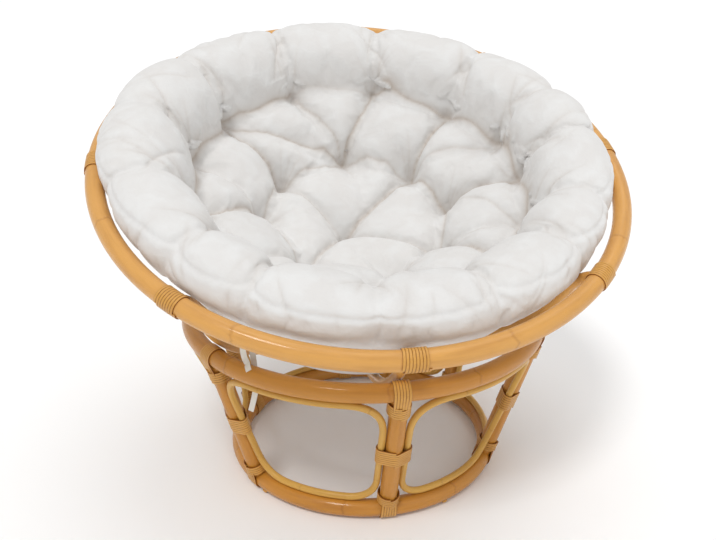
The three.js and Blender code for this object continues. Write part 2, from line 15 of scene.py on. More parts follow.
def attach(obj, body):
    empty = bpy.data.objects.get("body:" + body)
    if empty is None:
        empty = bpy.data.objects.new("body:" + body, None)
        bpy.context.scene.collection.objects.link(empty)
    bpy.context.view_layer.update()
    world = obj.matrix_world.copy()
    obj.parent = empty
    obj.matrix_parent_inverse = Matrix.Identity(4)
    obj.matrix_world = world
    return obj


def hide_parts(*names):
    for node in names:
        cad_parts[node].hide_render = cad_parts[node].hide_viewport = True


bl_info = {
    "name": "Papasan Chair",
    "version": (1, 0, 0),
    "blender": (4, 5, 0),
    "location": "View3D > Sidebar > Papasan",
    "description": "Dresses a papasan chair: rattan poles, cane lashings, a tufted cushion and a studio",
    "category": "Object",
}

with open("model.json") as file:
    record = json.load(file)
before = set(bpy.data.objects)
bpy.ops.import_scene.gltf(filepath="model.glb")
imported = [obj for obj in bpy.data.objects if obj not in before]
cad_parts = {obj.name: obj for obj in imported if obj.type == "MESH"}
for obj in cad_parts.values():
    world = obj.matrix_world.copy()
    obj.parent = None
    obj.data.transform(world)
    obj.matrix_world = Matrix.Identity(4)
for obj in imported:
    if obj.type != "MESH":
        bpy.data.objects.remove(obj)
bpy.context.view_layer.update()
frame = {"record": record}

TURN = 2 * math.pi
UP = Vector((0, 0, 1))
HINGE = next(j for j in frame["record"]["behaviour"]["joints"] if j["name"] == "bowl_tilt")
BOWL_CENTRE = Vector(HINGE["pos_m"])
BOWL_TILT = math.radians(24.25)
STAND_FRAME = Matrix.Translation((BOWL_CENTRE.x, BOWL_CENTRE.y, 0))
BOWL_FRAME = Matrix.Translation(BOWL_CENTRE) @ Matrix.Rotation(BOWL_TILT, 4, "X")
LEG_COUNT = 6
RIB_COUNT = 8

# Slight unevenness along a pole: two waves, in radians a metre, and where the slow one starts
SLOW_WAVE, FAST_WAVE, WAVE_START = 9.0, 23.0, 1.3
# How far each point of a wound strand strays
STRAND_JITTER = 0.00012
# Corners of a panel hoop at the lower and the upper ring, and its gap to the poles
HOOP_CORNERS = (0.056, 0.078)
HOOP_GAP = 0.0005
# Where a rib leaves its sphere for the rim, how far it runs on past the low hoop, and how much of its bend
# stops short of the rim's middle
RIB_BEND = math.radians(76)
RIB_OVERRUN = 0.016
RIB_STOP = 0.2
# Lashings: steps a turn, and the gaps to what they bind
NECK_STEPS, MIDDLE_STEPS, RIM_STEPS = 28, 40, 32
STRAP_GAP, NECK_GAP, HOOP_SLACK, MIDDLE_GAP = 0.0003, 0.001, 0.001, 0.0002
# Straps: the share by which they draw together down the leg, their least way out from its middle, and the
# share of the neck that they run under. The neck stands out by so many thicknesses of a strand.
STRAP_NARROWS, STRAP_LEAST, STRAP_REACH = 0.12, 0.004, 0.8
NECK_PROUD = 1.45

# Nails that hold the lower ring's lashings from below: turns from the front, lean, and (radius, height)
# rows of a head, which is sunk a little into the pole
NAIL_TURNS = (-0.1485, 0.0695)
NAIL_LEAN = math.radians(-55)
NAIL_ROWS = ((0.0058, 0), (0.0058, 0.0018), (0.0044, 0.0036), (0.0020, 0.0044))
NAIL_SIDES = 12
NAIL_SUNK = 0.0006

# Tails of the cushion's tie tape, from the stand's axis: name, way, and where its flat side looks at each end
TAPE_TAILS = (
    ("tie_tape_outer",
     ((-0.2540, -0.2480, 0.4160), (-0.2655, -0.2595, 0.3960), (-0.2667, -0.2615, 0.3784),
      (-0.2645, -0.2613, 0.3625), (-0.2608, -0.2617, 0.3517), (-0.2601, -0.2732, 0.3508),
      (-0.2584, -0.2840, 0.3474)),
     ((0, -0.93, 0.36), (-0.41, -0.45, 0.79))),
    ("tie_tape_inner",
     ((-0.2500, -0.2460, 0.4165), (-0.2500, -0.2465, 0.3700), (-0.2470, -0.2425, 0.3300),
      (-0.2463, -0.2415, 0.2918), (-0.2489, -0.2389, 0.2734), (-0.2533, -0.2341, 0.2516),
      (-0.2578, -0.2292, 0.2316)),
     ((0, -0.93, 0.36), (-0.30, -0.88, 0.36))),
)
TAPE_STEPS = 8

# Tufts of the cushion, as turns from the front to the right, and the radius of the inner ones
TUFT_STEPS = 56
INNER_TUFT_TURNS = [n / TUFT_STEPS for n in (2, 8, 15, 21, 28, 36, 42, 50)]
OUTER_TUFT_TURNS = [n / TUFT_STEPS for n in (3, 7, 10, 14, 17, 21, 26, 31, 36, 40, 44, 48, 51, 55)]
INNER_TUFT_RADIUS = 0.207
MIDDLE_TUFT_RADIUS, MIDDLE_TUFT_TURN = 0.027, 0.75

# Strength of the folds, 1 for the deepest: along the outer and the inner ring, with the one that differs in
# each, then (inner tuft, outer tuft, strength), and (inner tuft, strength) from the middle
OUTER_FOLD, OTHER_OUTER_FOLD = 0.9, {6: 0.35}
INNER_FOLD, OTHER_INNER_FOLD = 0.6, {2: 0.9}
RADIAL_FOLDS = [
    (0, 13, 0.7), (0, 0, 0.7), (1, 1, 0.8), (1, 2, 0.5), (2, 3, 0.9), (2, 2, 0.4), (3, 5, 0.9), (3, 4, 0.4),
    (4, 6, 0.9), (4, 7, 0.6), (4, 8, 0.8), (5, 8, 0.9), (6, 9, 0.5), (6, 10, 0.8), (7, 11, 0.8), (7, 12, 0.6),
]
MIDDLE_FOLDS = [(1, 0.5), (3, 0.8), (5, 0.4), (7, 0.6)]
# How far from a fold and from a tuft a pad is full, and how much of a fold's strength is left halfway along
FOLD_REACH, TUFT_REACH, FOLD_SLACK = 0.060, 0.062, 0.55
# How full each lobe of the border is, 0 for slack and 1 for full: the lobe before each outer tuft
LOBE_FULLNESS = (0.5, 0.5, 0.45, 0.9, 1.25, 0.8, 0.35, 0.35, 0.6, 1.5, 1.6, 0.75, 0.6, 0.5)

# The cushion's cover: steps round it, and rows over seat, inner wall, outer crest, side and underside
COVER_STEPS = 340
SEAT_ROWS, WALL_ROWS, CREST_ROWS, SIDE_ROWS, UNDER_ROWS = 46, 16, 14, 21, 40
WALL_FOOT, WALL_LEAN = -0.050, 0.002
# Pads flatten to this share of their height over this width before the crease
PAD_EDGE, PAD_EDGE_SHARE = 0.05, 0.6
# Depth of the notches between lobes on the border and on the side, and how far down the side they fade
BORDER_NOTCH, SIDE_NOTCH, NOTCH_RUN = 0.013, 0.010, 0.10
# Where the side meets the ribs, how full the side is out and up, and how soon a lobe's swell ends on it
LIFT_ANGLE = math.radians(44)
SIDE_FULLNESS = (0.82, 0.64)
SIDE_SWELL_END = 5
# Gaps to the ribs and the low hoop, and the angles over which the underside steps over that hoop
RIB_GAP, HOOP_TOP_GAP = 0.0012, 0.001
HOOP_LEDGE, HOOP_EASE = 0.035, 0.10

# Cloth of the simulation, and the frames that it takes to fill
CLOTH = {
    "quality": 6, "mass": 0.25, "tension_stiffness": 14, "compression_stiffness": 14, "shear_stiffness": 5,
    "bending_stiffness": 0.35, "air_damping": 4, "use_pressure": True, "uniform_pressure_force": 4,
    "shrink_min": -0.055, "vertex_group_mass": "held",
}
FILL_FRAMES = 20
# How firmly the folds along the outer ring are held, and the others at full strength, and how far the hold
# reaches from a tuft and from a fold, in sizes of the cloth's mesh
OUTER_FOLD_HOLD, FOLD_HOLD = 0.9, 0.35
TUFT_HOLD_REACH, FOLD_HOLD_REACH = 1.1, 0.55
# The seat is what faces up inside SEAT_MARGIN past the crease, and the underside faces down below UNDER_TOP
FACES_UP, SEAT_MARGIN, UNDER_TOP = 0.1, 0.02, -0.045

# Sewn folds of the seat, and the loose ones from each tuft: depth, length and how many
SEWN_DEPTH = 0.0060
LOOSE_DEPTH, LOOSE_LENGTH, LOOSE_COUNT = (0.0014, 0.0032), (0.035, 0.085), (6, 9)
LOOSE_START = 0.004
CREASE_WIDTH, CREASE_WANDER = 0.0040, 0.003
# The share of a crease's depth that is sharp, and how many times wider its soft slopes are
CREASE_SHARP, CREASE_SLOPES = 0.7, 3.2
# The seat's creases lie where the cloth faces up, to CREASES_END outside the border's crease. Pleats lie from
# PLEATS_START inside that crease outwards, above PLEATS_LOW.
CREASES_UP, CREASES_END, PLEATS_START, PLEATS_LOW = 0.05, 0.05, 0.02, -0.09
# Shade in a crease: the depth that shades fully, and how far the shade spreads
SEAT_SHADE_DEPTH, SEAT_SHADE_WIDTH = 0.0058, 0.0028
PLEAT_SHADE_DEPTH, PLEAT_SHADE_WIDTH = 0.0150, 0.6
# Pleats across the border, at the tufts, over the crest and under the seam: the spread of their slant, then
# spans of the middle angle, half span, depth and width
TUFT_PLEATS = (0.012, (1.9, 2.7), (0.7, 1.3), (0.0035, 0.0065), (0.005, 0.009))
CREST_PLEATS = (0.02, (0.4, 1.9), (0.35, 0.9), (0.0018, 0.0048), (0.004, 0.009))
SEAM_PLEATS = (0.01, (-0.1, 0.65), (0.15, 0.35), (0.0018, 0.0042), (0.003, 0.006))
TUFT_PLEAT_COUNT, CREST_PLEAT_COUNT, SEAM_PLEAT_COUNT = 3, 46, 90
TUFT_PLEAT_SPREAD, PLEAT_SPAN = 0.006, 0.03
# Middle of the border's section, which the pleats' angles turn round
BORDER_RADIUS, BORDER_HEIGHT = 0.432, -0.005
# Seam: height, depth and width of its groove, how far out from the crest it starts, and its waves, each
# (height, how many round the cushion), then height, offset and width of the puckered edge beside it
SEAM_HEIGHT, SEAM_DEPTH, SEAM_WIDTH, SEAM_START = 0.050, 0.0024, 0.0030, 0.012
SEAM_WAVES = ((0.0022, 5), (0.0015, 17))
PUCKER_HEIGHT, PUCKER_OFFSET, PUCKER_WIDTH = 0.0009, 0.0085, 0.005


def length(name, description, default):
    """A size in metres."""
    return bpy.props.FloatProperty(name=name, description=description, default=default, unit="LENGTH")


def number(name, description, default):
    """A count."""
    return bpy.props.IntProperty(name=name, description=description, default=default)


def colour(name, description, *default):
    """An opaque colour."""
    return bpy.props.FloatVectorProperty(
        name=name, description=description, subtype="COLOR", size=4, min=0, max=1, default=(*default, 1))


class StandSizes(bpy.types.PropertyGroup):
    """Sizes of the ring stand."""

    top_ring: length("Upper ring", "Radius of the upper ring to the middle of its pole", 0.3722)
    bottom_ring: length("Lower ring", "Radius of the lower ring to the middle of its pole", 0.2832)
    ring_pole: length("Ring pole", "Radius of the pole that both rings are bent from", 0.0179)
    leg_pole: length("Leg pole", "Radius of a leg", 0.0174)
    hoop_cane: length("Panel cane", "Radius of the cane in the panel hoops", 0.0069)
    top_height: length("Upper ring height", "Height of the middle of the upper ring", 0.332)
    bottom_height: length("Lower ring height", "Height of the middle of the lower ring", 0.0203)


class BowlSizes(bpy.types.PropertyGroup):
    """Sizes of the bowl."""

    rim: length("Rim", "Radius of the rim to the middle of its pole", 0.5318)
    rim_pole: length("Rim pole", "Radius of the rim's pole", 0.0181)
    rim_drop: length("Rim drop", "From the bowl's centre down to the plane of the rim", 0.062)
    rib_sphere: length("Rib sphere", "Radius of the sphere that the ribs' middles lie on", 0.501)
    rib_cane: length("Rib cane", "Radius of a rib", 0.0109)
    hoop: length("Low hoop", "Radius of the hoop that joins the ribs' low ends", 0.215)
    hoop_cane: length("Low hoop cane", "Radius of that hoop's cane", 0.0099)


class LashingSizes(bpy.types.PropertyGroup):
    """Sizes of the split cane in the lashings."""

    strand_width: length("Strand width", "Width of a strand of split cane", 0.0052)
    strand_pitch: length("Strand pitch", "From the middle of one turn to the next", 0.0053)
    strand_thickness: length("Strand thickness", "Thickness of a strand", 0.0024)
    rim_turns: number("Rim turns", "Turns of a lashing on the rim", 8)
    middle_turns: number("Middle turns", "Turns round a leg's middle", 7)
    strap_strands: number("Strap strands", "Strands over a ring at a joint", 6)
    top_turns: number("Top turns", "Turns round a leg below the upper ring", 5)
    bottom_turns: number("Bottom turns", "Turns round a leg above the lower ring", 4)


class CushionSizes(bpy.types.PropertyGroup):
    """Sizes of the cushion, from the plane of the rim and the bowl's axis."""

    edge: length("Edge", "Radius at the cushion's side", 0.490)
    edge_height: length("Edge height", "Height of the side over the rim's plane", 0.022)
    crest: length("Border crest", "Radius of the border's top", 0.444)
    crest_height: length("Crest height", "Height of the border's top over the rim's plane", 0.072)
    crease: length("Crease", "Radius of the crease between seat and border", 0.350)
    crease_depth: length("Crease depth", "Depth of that crease under the rim's plane", 0.070)
    dish: length("Dish", "Depth of the tuft in the middle of the seat", 0.240)
    puff: length("Pad height", "How far the pads stand proud of the tufts", 0.044)
    lobe_swell: length("Lobe swell", "How much higher and wider a full lobe is than an even one", 0.012)
    tape_width: length("Tape width", "Width of the tie tape", 0.0107)
    tape_thickness: length("Tape thickness", "Thickness of the tie tape", 0.0012)
    voxel: length("Cloth mesh", "Mesh size of the simulated cloth", 0.0075)
    swell: length("Swell limit", "Most that filling may push the cloth out", 0.022)


class FinishColours(bpy.types.PropertyGroup):
    """Colours of the finishes."""

    rim: colour("Rim", "Varnished rattan of the bowl's rim and ribs", 0.730, 0.375, 0.095)
    pole: colour("Pole", "Varnished rattan of the stand", 0.600, 0.262, 0.038)
    cane: colour("Cane", "Peeled cane of the panels", 0.690, 0.395, 0.085)
    strand: colour("Strand", "Split cane of the lashings", 0.690, 0.365, 0.085)
    cloth: colour("Cloth", "Cotton of the cushion", 0.752, 0.748, 0.738)
    tape: colour("Tape", "Tie tape", 0.760, 0.730, 0.660)


# Nodes


def add_inputs(tree, inputs):
    """Named inputs of a node group, each with its kind of socket and its default."""
    for label, kind, value in inputs:
        socket = tree.interface.new_socket(label, in_out="INPUT", socket_type="NodeSocket" + kind)
        if value is not None:
            socket.default_value = value


def new_finish_group(name, inputs):
    """A shader node group that puts out colour, roughness and height, with its input and output sockets."""
    group = bpy.data.node_groups.new(name, "ShaderNodeTree")
    add_inputs(group, inputs)
    for label, kind in (("Colour", "Color"), ("Roughness", "Float"), ("Height", "Float")):
        group.interface.new_socket(label, in_out="OUTPUT", socket_type="NodeSocket" + kind)
    return group, group.nodes.new("NodeGroupInput").outputs, group.nodes.new("NodeGroupOutput").inputs


def add_node(tree, kind, inputs=None, **settings):
    """A node with its settings; inputs maps a socket's name or number to a value or to another socket."""
    node = tree.nodes.new(kind)
    for name, value in settings.items():
        setattr(node, name, value)
    for key, value in (inputs or {}).items():
        if isinstance(value, bpy.types.NodeSocket):
            tree.links.new(value, node.inputs[key])
        else:
            node.inputs[key].default_value = value
    return node


def result(tree, kind, inputs=None, **settings):
    """The first output of a new node."""
    return add_node(tree, kind, inputs, **settings).outputs[0]


def maths(tree, operation, *values):
    return result(tree, "ShaderNodeMath", dict(enumerate(values)), operation=operation)


def vector_maths(tree, operation, *values):
    return result(tree, "ShaderNodeVectorMath", dict(enumerate(values)), operation=operation)


def noise(tree, place, scale, detail, roughness=0.5, distortion=0.0):
    return result(tree, "ShaderNodeTexNoise", {
        "Vector": place, "Scale": scale, "Detail": detail, "Roughness": roughness, "Distortion": distortion})


def spread(tree, value, low, high, at_low, at_high, **settings):
    """The value's place between low and high, as the same place between the other two."""
    return result(tree, "ShaderNodeMapRange", {
        "Value": value, "From Min": low, "From Max": high, "To Min": at_low, "To Max": at_high}, **settings)


def darken(tree, share, surface, stain):
    return result(tree, "ShaderNodeMixRGB", {"Fac": share, 1: surface, 2: stain}, blend_type="MULTIPLY")


def put_out(tree, made, **sockets):
    """Links each socket to the group's output of that name."""
    for label, socket in sockets.items():
        tree.links.new(socket, made[label])


def grain_group(name):
    """Rattan skin: long fibres along the pole, soft mottling and a faint ring where a leaf grew."""
    group, given, made = new_finish_group(name, [
        ("Along", "Vector", None), ("Colour", "Color", (0.5, 0.3, 0.1, 1)), ("Fibre scale", "Float", 60.0),
        ("Ring spacing", "Float", 0.31), ("Contrast", "Float", 0.5), ("Groove", "Float", 0.0)])
    # The second colour is painted shade, which the Groove mask multiplies in where wound strands meet
    fibre_brown, groove_shade = (0.30, 0.125, 0.035, 1), (0.42, 0.25, 0.13, 1)
    stretched = vector_maths(group, "MULTIPLY", given["Along"], (6.0, 90.0, 1.0))
    fibre = noise(group, stretched, given["Fibre scale"], 4.0, 0.6)
    mottle = noise(group, given["Along"], 7.0, 3.0)
    along = result(group, "ShaderNodeSeparateXYZ", {0: given["Along"]})
    spaces = maths(group, "DIVIDE", along, given["Ring spacing"])
    uneven = maths(group, "MULTIPLY_ADD", mottle, 0.06, spaces)
    near = maths(group, "ABSOLUTE", maths(group, "SUBTRACT", maths(group, "FRACT", uneven), 0.5))
    ring = spread(group, near, 0.0, 0.012, 1.0, 0.0)
    fibre_dark = spread(group, fibre, 0.42, 0.75, 0.0, 0.22)
    mottle_dark = spread(group, mottle, 0.45, 0.8, 0.0, 0.35)
    marks = maths(group, "MULTIPLY", maths(group, "ADD", fibre_dark, mottle_dark), given["Contrast"])
    dark = darken(group, maths(group, "MULTIPLY_ADD", ring, 0.20, marks), given["Colour"], fibre_brown)
    put_out(group, made,
            # Painted shade: the Groove mask darkens the colour in the grooves between neighbouring strands
            Colour=darken(group, given["Groove"], dark, groove_shade),
            Roughness=spread(group, fibre, 0.3, 0.8, 0.24, 0.40),
            Height=maths(group, "MULTIPLY_ADD", ring, 1.6, fibre))
    return group


def weave_group(name):
    """Plain cotton weave with slubs, soft rumples and thin crinkles. Creases hold a little warm shade."""
    group, given, made = new_finish_group(name, [
        ("Place", "Vector", None), ("Colour", "Color", (0.8, 0.8, 0.8, 1)), ("Crease", "Float", 0.0),
        ("Thread scale", "Float", 700.0), ("Rumple scale", "Float", 26.0), ("Rumple height", "Float", 3.0),
        ("Crinkle", "Float", 0.0)])
    rumple_shade, crease_shade = (0.95, 0.935, 0.925, 1), (0.72, 0.64, 0.57, 1)
    place = given["Place"]
    threads = [noise(group, vector_maths(group, "MULTIPLY", place, way), given["Thread scale"], 1.0)
               for way in ((1.0, 0.12, 0.5), (0.12, 1.0, 0.5))]
    rumple = noise(group, place, given["Rumple scale"], 4.0, distortion=0.4)
    slub = noise(group, place, 240.0, 2.0)
    fine = maths(group, "MULTIPLY_ADD", slub, 0.25, maths(group, "ADD", *threads))
    height = maths(group, "MULTIPLY_ADD", rumple, given["Rumple height"], maths(group, "MULTIPLY", fine, 0.12))
    crinkle = noise(group, place, 9.0, 1.0, 0.4, 0.2)
    beside = maths(group, "ABSOLUTE", maths(group, "SUBTRACT", crinkle, 0.5))
    line = spread(group, beside, 0.0, 0.055, 1.0, 0.0, interpolation_type="SMOOTHSTEP")
    patch = spread(group, rumple, 0.44, 0.60, 0.0, 1.0)
    fold = maths(group, "MULTIPLY", line, patch)
    shaded = darken(group, spread(group, rumple, 0.4, 0.7, 1.0, 0.0), given["Colour"], rumple_shade)
    put_out(group, made,
            Colour=darken(group, given["Crease"], shaded, crease_shade),
            Roughness=spread(group, slub, 0.3, 0.7, 0.82, 0.95),
            Height=maths(group, "MULTIPLY_ADD", fold, given["Crinkle"], height))
    return group


def shared_group(name, maker):
    """The node group of that name, made the first time it is asked for."""
    return bpy.data.node_groups.get(name) or maker(name)


GRAIN = ("Rattan grain", grain_group)
WEAVE = ("Cotton weave", weave_group)
VARNISHED = {"Coat Weight": 0.35, "Coat Roughness": 0.12, "Specular IOR Level": 0.25}
LIGHTLY_VARNISHED = {"Coat Weight": 0.2, "Coat Roughness": 0.2, "Specular IOR Level": 0.25}
COTTON = {"Sheen Weight": 0.2, "Sheen Roughness": 0.5, "Specular IOR Level": 0.2}
# Finishes: colour, group, coordinates, relief in metres, the group's input that the mesh's attribute of that
# name feeds, values on the shader's own sockets and values on the group's
FINISHES = {
    "rim_rattan": ("rim", GRAIN, "UV", 0.0004, None, VARNISHED,
                   {"Fibre scale": 9.0, "Ring spacing": 0.36, "Contrast": 0.8}),
    "varnished_rattan": ("pole", GRAIN, "UV", 0.0004, None, VARNISHED,
                         {"Fibre scale": 9.0, "Ring spacing": 0.31, "Contrast": 0.9}),
    "peeled_cane": ("cane", GRAIN, "UV", 0.0003, None, LIGHTLY_VARNISHED,
                    {"Fibre scale": 14.0, "Ring spacing": 0.21, "Contrast": 0.9}),
    # The split cane's Groove input paints shade between the turns, read from the strands' groove attribute
    "split_cane": ("strand", GRAIN, "Object", 0.0002, "Groove", LIGHTLY_VARNISHED,
                   {"Fibre scale": 26.0, "Ring spacing": 0.9, "Contrast": 1.1}),
    "white_cotton": ("cloth", WEAVE, "Object", 0.0012, "Crease", COTTON,
                     {"Thread scale": 900.0, "Rumple scale": 24.0, "Rumple height": 3.0, "Crinkle": -0.35}),
    "cotton_tape": ("tape", WEAVE, "Object", 0.0003, None, COTTON,
                    {"Thread scale": 900.0, "Rumple scale": 60.0, "Rumple height": 1.0}),
}


def finish(name):
    """The Principled material of that name in FINISHES, made the first time it is asked for."""
    material = bpy.data.materials.get(name)
    if material:
        return material
    tint, group, coordinates, relief, mask, shader, values = FINISHES[name]
    material = bpy.data.materials.new(name)
    material.use_nodes = True
    tree = material.node_tree
    inputs = {0: add_node(tree, "ShaderNodeTexCoord").outputs[coordinates],
              "Colour": getattr(bpy.context.scene.papasan_colours, tint)[:], **values}
    if mask:
        inputs[mask] = add_node(tree, "ShaderNodeAttribute", attribute_name=mask.lower()).outputs["Fac"]
    skin = add_node(tree, "ShaderNodeGroup", inputs, node_tree=shared_group(*group)).outputs
    normal = result(tree, "ShaderNodeBump", {"Height": skin["Height"], "Distance": relief, "Strength": 1.0})
    principled = tree.nodes["Principled BSDF"].inputs
    for label, socket in (("Base Color", skin["Colour"]), ("Roughness", skin["Roughness"]), ("Normal", normal)):
        tree.links.new(socket, principled[label])
    for label, value in shader.items():
        principled[label].default_value = value
    return material


# Mesh tools


def outward(azimuth):
    """Horizontal direction, turned from the front towards the right."""
    return Vector((math.sin(azimuth), -math.cos(azimuth), 0))


def bezier(a, b, c, share):
    return a * (1 - share) ** 2 + b * (2 * share * (1 - share)) + c * share ** 2


def new_mesh(name, points, faces, smooth_quads=False):
    mesh = bpy.data.meshes.new(name)
    mesh.from_pydata([tuple(point) for point in points], [], faces)
    if smooth_quads:
        mesh.polygons.foreach_set("use_smooth", [len(face) == 4 for face in faces])
    mesh.update()
    return mesh


def link_mesh(name, mesh, material):
    piece = bpy.data.objects.new(name, mesh)
    bpy.context.scene.collection.objects.link(piece)
    mesh.materials.clear()
    mesh.materials.append(material)
    return piece


def dress(piece, body, slot, *nodes):
    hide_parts(*nodes)
    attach(piece, body)


def tube_faces(start, rows, sides):
    """Side faces of a tube whose points run ring by ring from the one numbered start."""
    faces = []
    for row in range(rows):
        for side in range(sides):
            a, b = start + sides * row + side, start + sides * row + (side + 1) % sides
            faces.append((a, b, b + sides, a + sides))
    return faces


def pole(name, centres, outs, radius, finish_name, sides, closed=False, swell=0.0):
    """A round pole along the centres, with UV as metres along it and share of a turn round it. outs are
    the ways that its side 0 faces, and swell is how uneven it is as a share of its radius."""
    count = len(centres)
    last = count - 1
    points, lengths = [], [0.0]
    for i, centre in enumerate(centres):
        before = centres[(i - 1) % count] if closed else centres[max(i - 1, 0)]
        after = centres[(i + 1) % count] if closed else centres[min(i + 1, last)]
        along = (after - before).normalized()
        across = along.cross(outs[i]).normalized()
        out = across.cross(along)
        if i:
            lengths.append(lengths[-1] + (centre - centres[i - 1]).length)
        run = lengths[-1]
        thick = radius * (1 + swell * math.sin(run * SLOW_WAVE + WAVE_START) * math.sin(run * FAST_WAVE))
        for side in range(sides):
            angle = TURN * side / sides
            points.append(centre + thick * (out * math.cos(angle) + across * math.sin(angle)))
    lengths.append(lengths[-1] + (centres[0] - centres[-1]).length)
    faces, uvs = [], []
    for i in range(count if closed else last):
        j = (i + 1) % count
        for side in range(sides):
            k = (side + 1) % sides
            faces.append((i * sides + side, i * sides + k, j * sides + k, j * sides + side))
            low, high = side / sides, (side + 1) / sides
            a, b = lengths[i], lengths[i + 1]
            uvs += [(a, low), (a, high), (b, high), (b, low)]
    if not closed:
        for ring, order in ((0, -1), (last, 1)):
            faces.append(tuple(ring * sides + side for side in range(sides))[::order])
            uvs += [(lengths[ring], 0.5)] * sides
    mesh = new_mesh(name, points, faces, smooth_quads=True)
    layer = mesh.uv_layers.new(name="UVMap")
    layer.data.foreach_set("uv", np.array(uvs, dtype=np.float32).ravel())
    return link_mesh(name, mesh, finish(finish_name))


def round_pole(name, plane, radius, height, thickness, finish_name, steps, sides, swell=0.0):
    """A pole bent into a closed circle, at that height over the plane."""
    ways = [outward(TURN * step / steps) for step in range(steps)]
    centres = [plane @ (way * radius + UP * height) for way in ways]
    outs = [plane.to_3x3() @ way for way in ways]
    return pole(name, centres, outs, thickness, finish_name, sides, closed=True, swell=swell)


def joined(name, pieces):
    """One mesh piece from several."""
    with bpy.context.temp_override(active_object=pieces[0], selected_editable_objects=pieces):
        bpy.ops.object.join()
    pieces[0].name = name
    pieces[0].data.name = name
    return pieces[0]


# Wound cane


def strand_tree(name):
    """Geometry nodes: each path becomes one strand of cane, flat with rounded edges."""
    tree = bpy.data.node_groups.new(name, "GeometryNodeTree")
    add_inputs(tree, [
        ("Path", "Geometry", None), ("Width", "Float", 0.005), ("Thickness", "Float", 0.002),
        ("Jitter", "Float", 0.0), ("Seed", "Int", 3), ("Finish", "Material", None)])
    tree.interface.new_socket("Strands", in_out="OUTPUT", socket_type="NodeSocketGeometry")
    given, made = tree.nodes.new("NodeGroupInput").outputs, tree.nodes.new("NodeGroupOutput").inputs
    path = result(tree, "GeometryNodeMeshToCurve", {"Mesh": given["Path"]})
    shake = result(tree, "FunctionNodeRandomValue", {
        "Min": (-1, -1, -1), "Max": (1, 1, 1), "Seed": given["Seed"]}, data_type="FLOAT_VECTOR")
    stray = result(tree, "ShaderNodeVectorMath", {0: shake, "Scale": given["Jitter"]}, operation="SCALE")
    loose = result(tree, "GeometryNodeSetPosition", {"Geometry": path, "Offset": stray})
    smooth = result(tree, "GeometryNodeSetCurveNormal", {"Curve": loose}, mode="Z_UP")
    # The section is a circle of 16 points with its four sides cut flat, half a unit from its middle.
    circle = result(tree, "GeometryNodeCurvePrimitiveCircle", {"Resolution": 16, "Radius": 0.62})
    capped = vector_maths(tree, "MINIMUM", result(tree, "GeometryNodeInputPosition"), (0.5, 0.5, 0.5))
    flat = vector_maths(tree, "MAXIMUM", capped, (-0.5, -0.5, -0.5))
    section = result(tree, "GeometryNodeSetPosition", {"Geometry": circle, "Position": flat})
    # Painted shade: points near the edges of each strand's width are marked in the groove attribute, and the
    # finish darkens them as the shade between neighbouring turns
    spot = result(tree, "GeometryNodeInputPosition")
    across = add_node(tree, "ShaderNodeSeparateXYZ", {0: spot}).outputs["Y"]
    edge = spread(tree, maths(tree, "ABSOLUTE", across), 0.40, 0.5, 0.0, 1.0)
    shade_marked = result(tree, "GeometryNodeStoreNamedAttribute", {
        "Geometry": section, "Name": "groove", "Value": edge}, data_type="FLOAT", domain="POINT")
    scale = result(tree, "ShaderNodeCombineXYZ", {0: given["Thickness"], 1: given["Width"], 2: 1.0})
    oval = result(tree, "GeometryNodeTransform", {"Geometry": shade_marked, "Scale": scale})
    swept = result(tree, "GeometryNodeCurveToMesh", {"Curve": smooth, "Profile Curve": oval, "Fill Caps": True})
    shaded = result(tree, "GeometryNodeSetShadeSmooth", {"Geometry": swept})
    real = result(tree, "GeometryNodeRealizeInstances", {"Geometry": shaded})
    put_out(tree, made, Strands=result(
        tree, "GeometryNodeSetMaterial", {"Geometry": real, "Material": given["Finish"]}))
    return tree


def strands(name, paths, seed, jitter=STRAND_JITTER):
    """Split cane along open paths, each a list of points, as a plain mesh object."""
    verts, edges = [], []
    for path in paths:
        start = len(verts)
        verts += [tuple(point) for point in path]
        edges += [(start + i, start + i + 1) for i in range(len(path) - 1)]
    mesh = bpy.data.meshes.new(name + "_path")
    mesh.from_pydata(verts, edges, [])
    holder = bpy.data.objects.new(name + "_path", mesh)
    bpy.context.scene.collection.objects.link(holder)
    modifier = holder.modifiers.new("Strands", "NODES")
    modifier.node_group = shared_group("Cane strand", strand_tree)
    cane = bpy.context.scene.papasan_lashings
    values = {"Width": cane.strand_width, "Thickness": cane.strand_thickness, "Jitter": jitter, "Seed": seed,
              "Finish": finish("split_cane")}
    for item in modifier.node_group.interface.items_tree:
        if item.name in values:
            modifier[item.identifier] = values[item.name]
    holder.update_tag()
    swept = bpy.data.meshes.new_from_object(holder.evaluated_get(bpy.context.evaluated_depsgraph_get()))
    swept.name = name
    bpy.data.objects.remove(holder)
    bpy.data.meshes.remove(mesh)
    if not swept.polygons:
        raise RuntimeError(f"{name}: the strand tree gave no faces")
    return link_mesh(name, swept, finish("split_cane"))


def helix(outline, turns, pitch, steps):
    """Points of a winding round an outline, climbing along Z and centred on zero."""
    points = []
    for step in range(int(turns * steps) + 1):
        x, y = outline(step / steps)
        points.append(Vector((x, y, pitch * (step / steps - turns / 2))))
    return points


def circle_outline(radius):
    return lambda turns: (radius * math.cos(TURN * turns), radius * math.sin(TURN * turns))


def bundle_outline(bars, proud):
    """The taut line round several bars, each (x, y, radius), as a function of turns."""
    points = []
    steps = 720
    for step in range(steps):
        angle = TURN * step / steps
        dx, dy = math.cos(angle), math.sin(angle)
        x, y, radius = max(bars, key=lambda bar: bar[0] * dx + bar[1] * dy + bar[2])
        points.append((x + (radius + proud) * dx, y + (radius + proud) * dy))
    points.append(points[0])
    track = np.array(points)
    run = np.concatenate([[0], np.cumsum(np.hypot(*np.diff(track, axis=0).T))])

    def place(turns):
        at = (turns % 1) * run[-1]
        return float(np.interp(at, run, track[:, 0])), float(np.interp(at, run, track[:, 1]))
    return place


# Stand


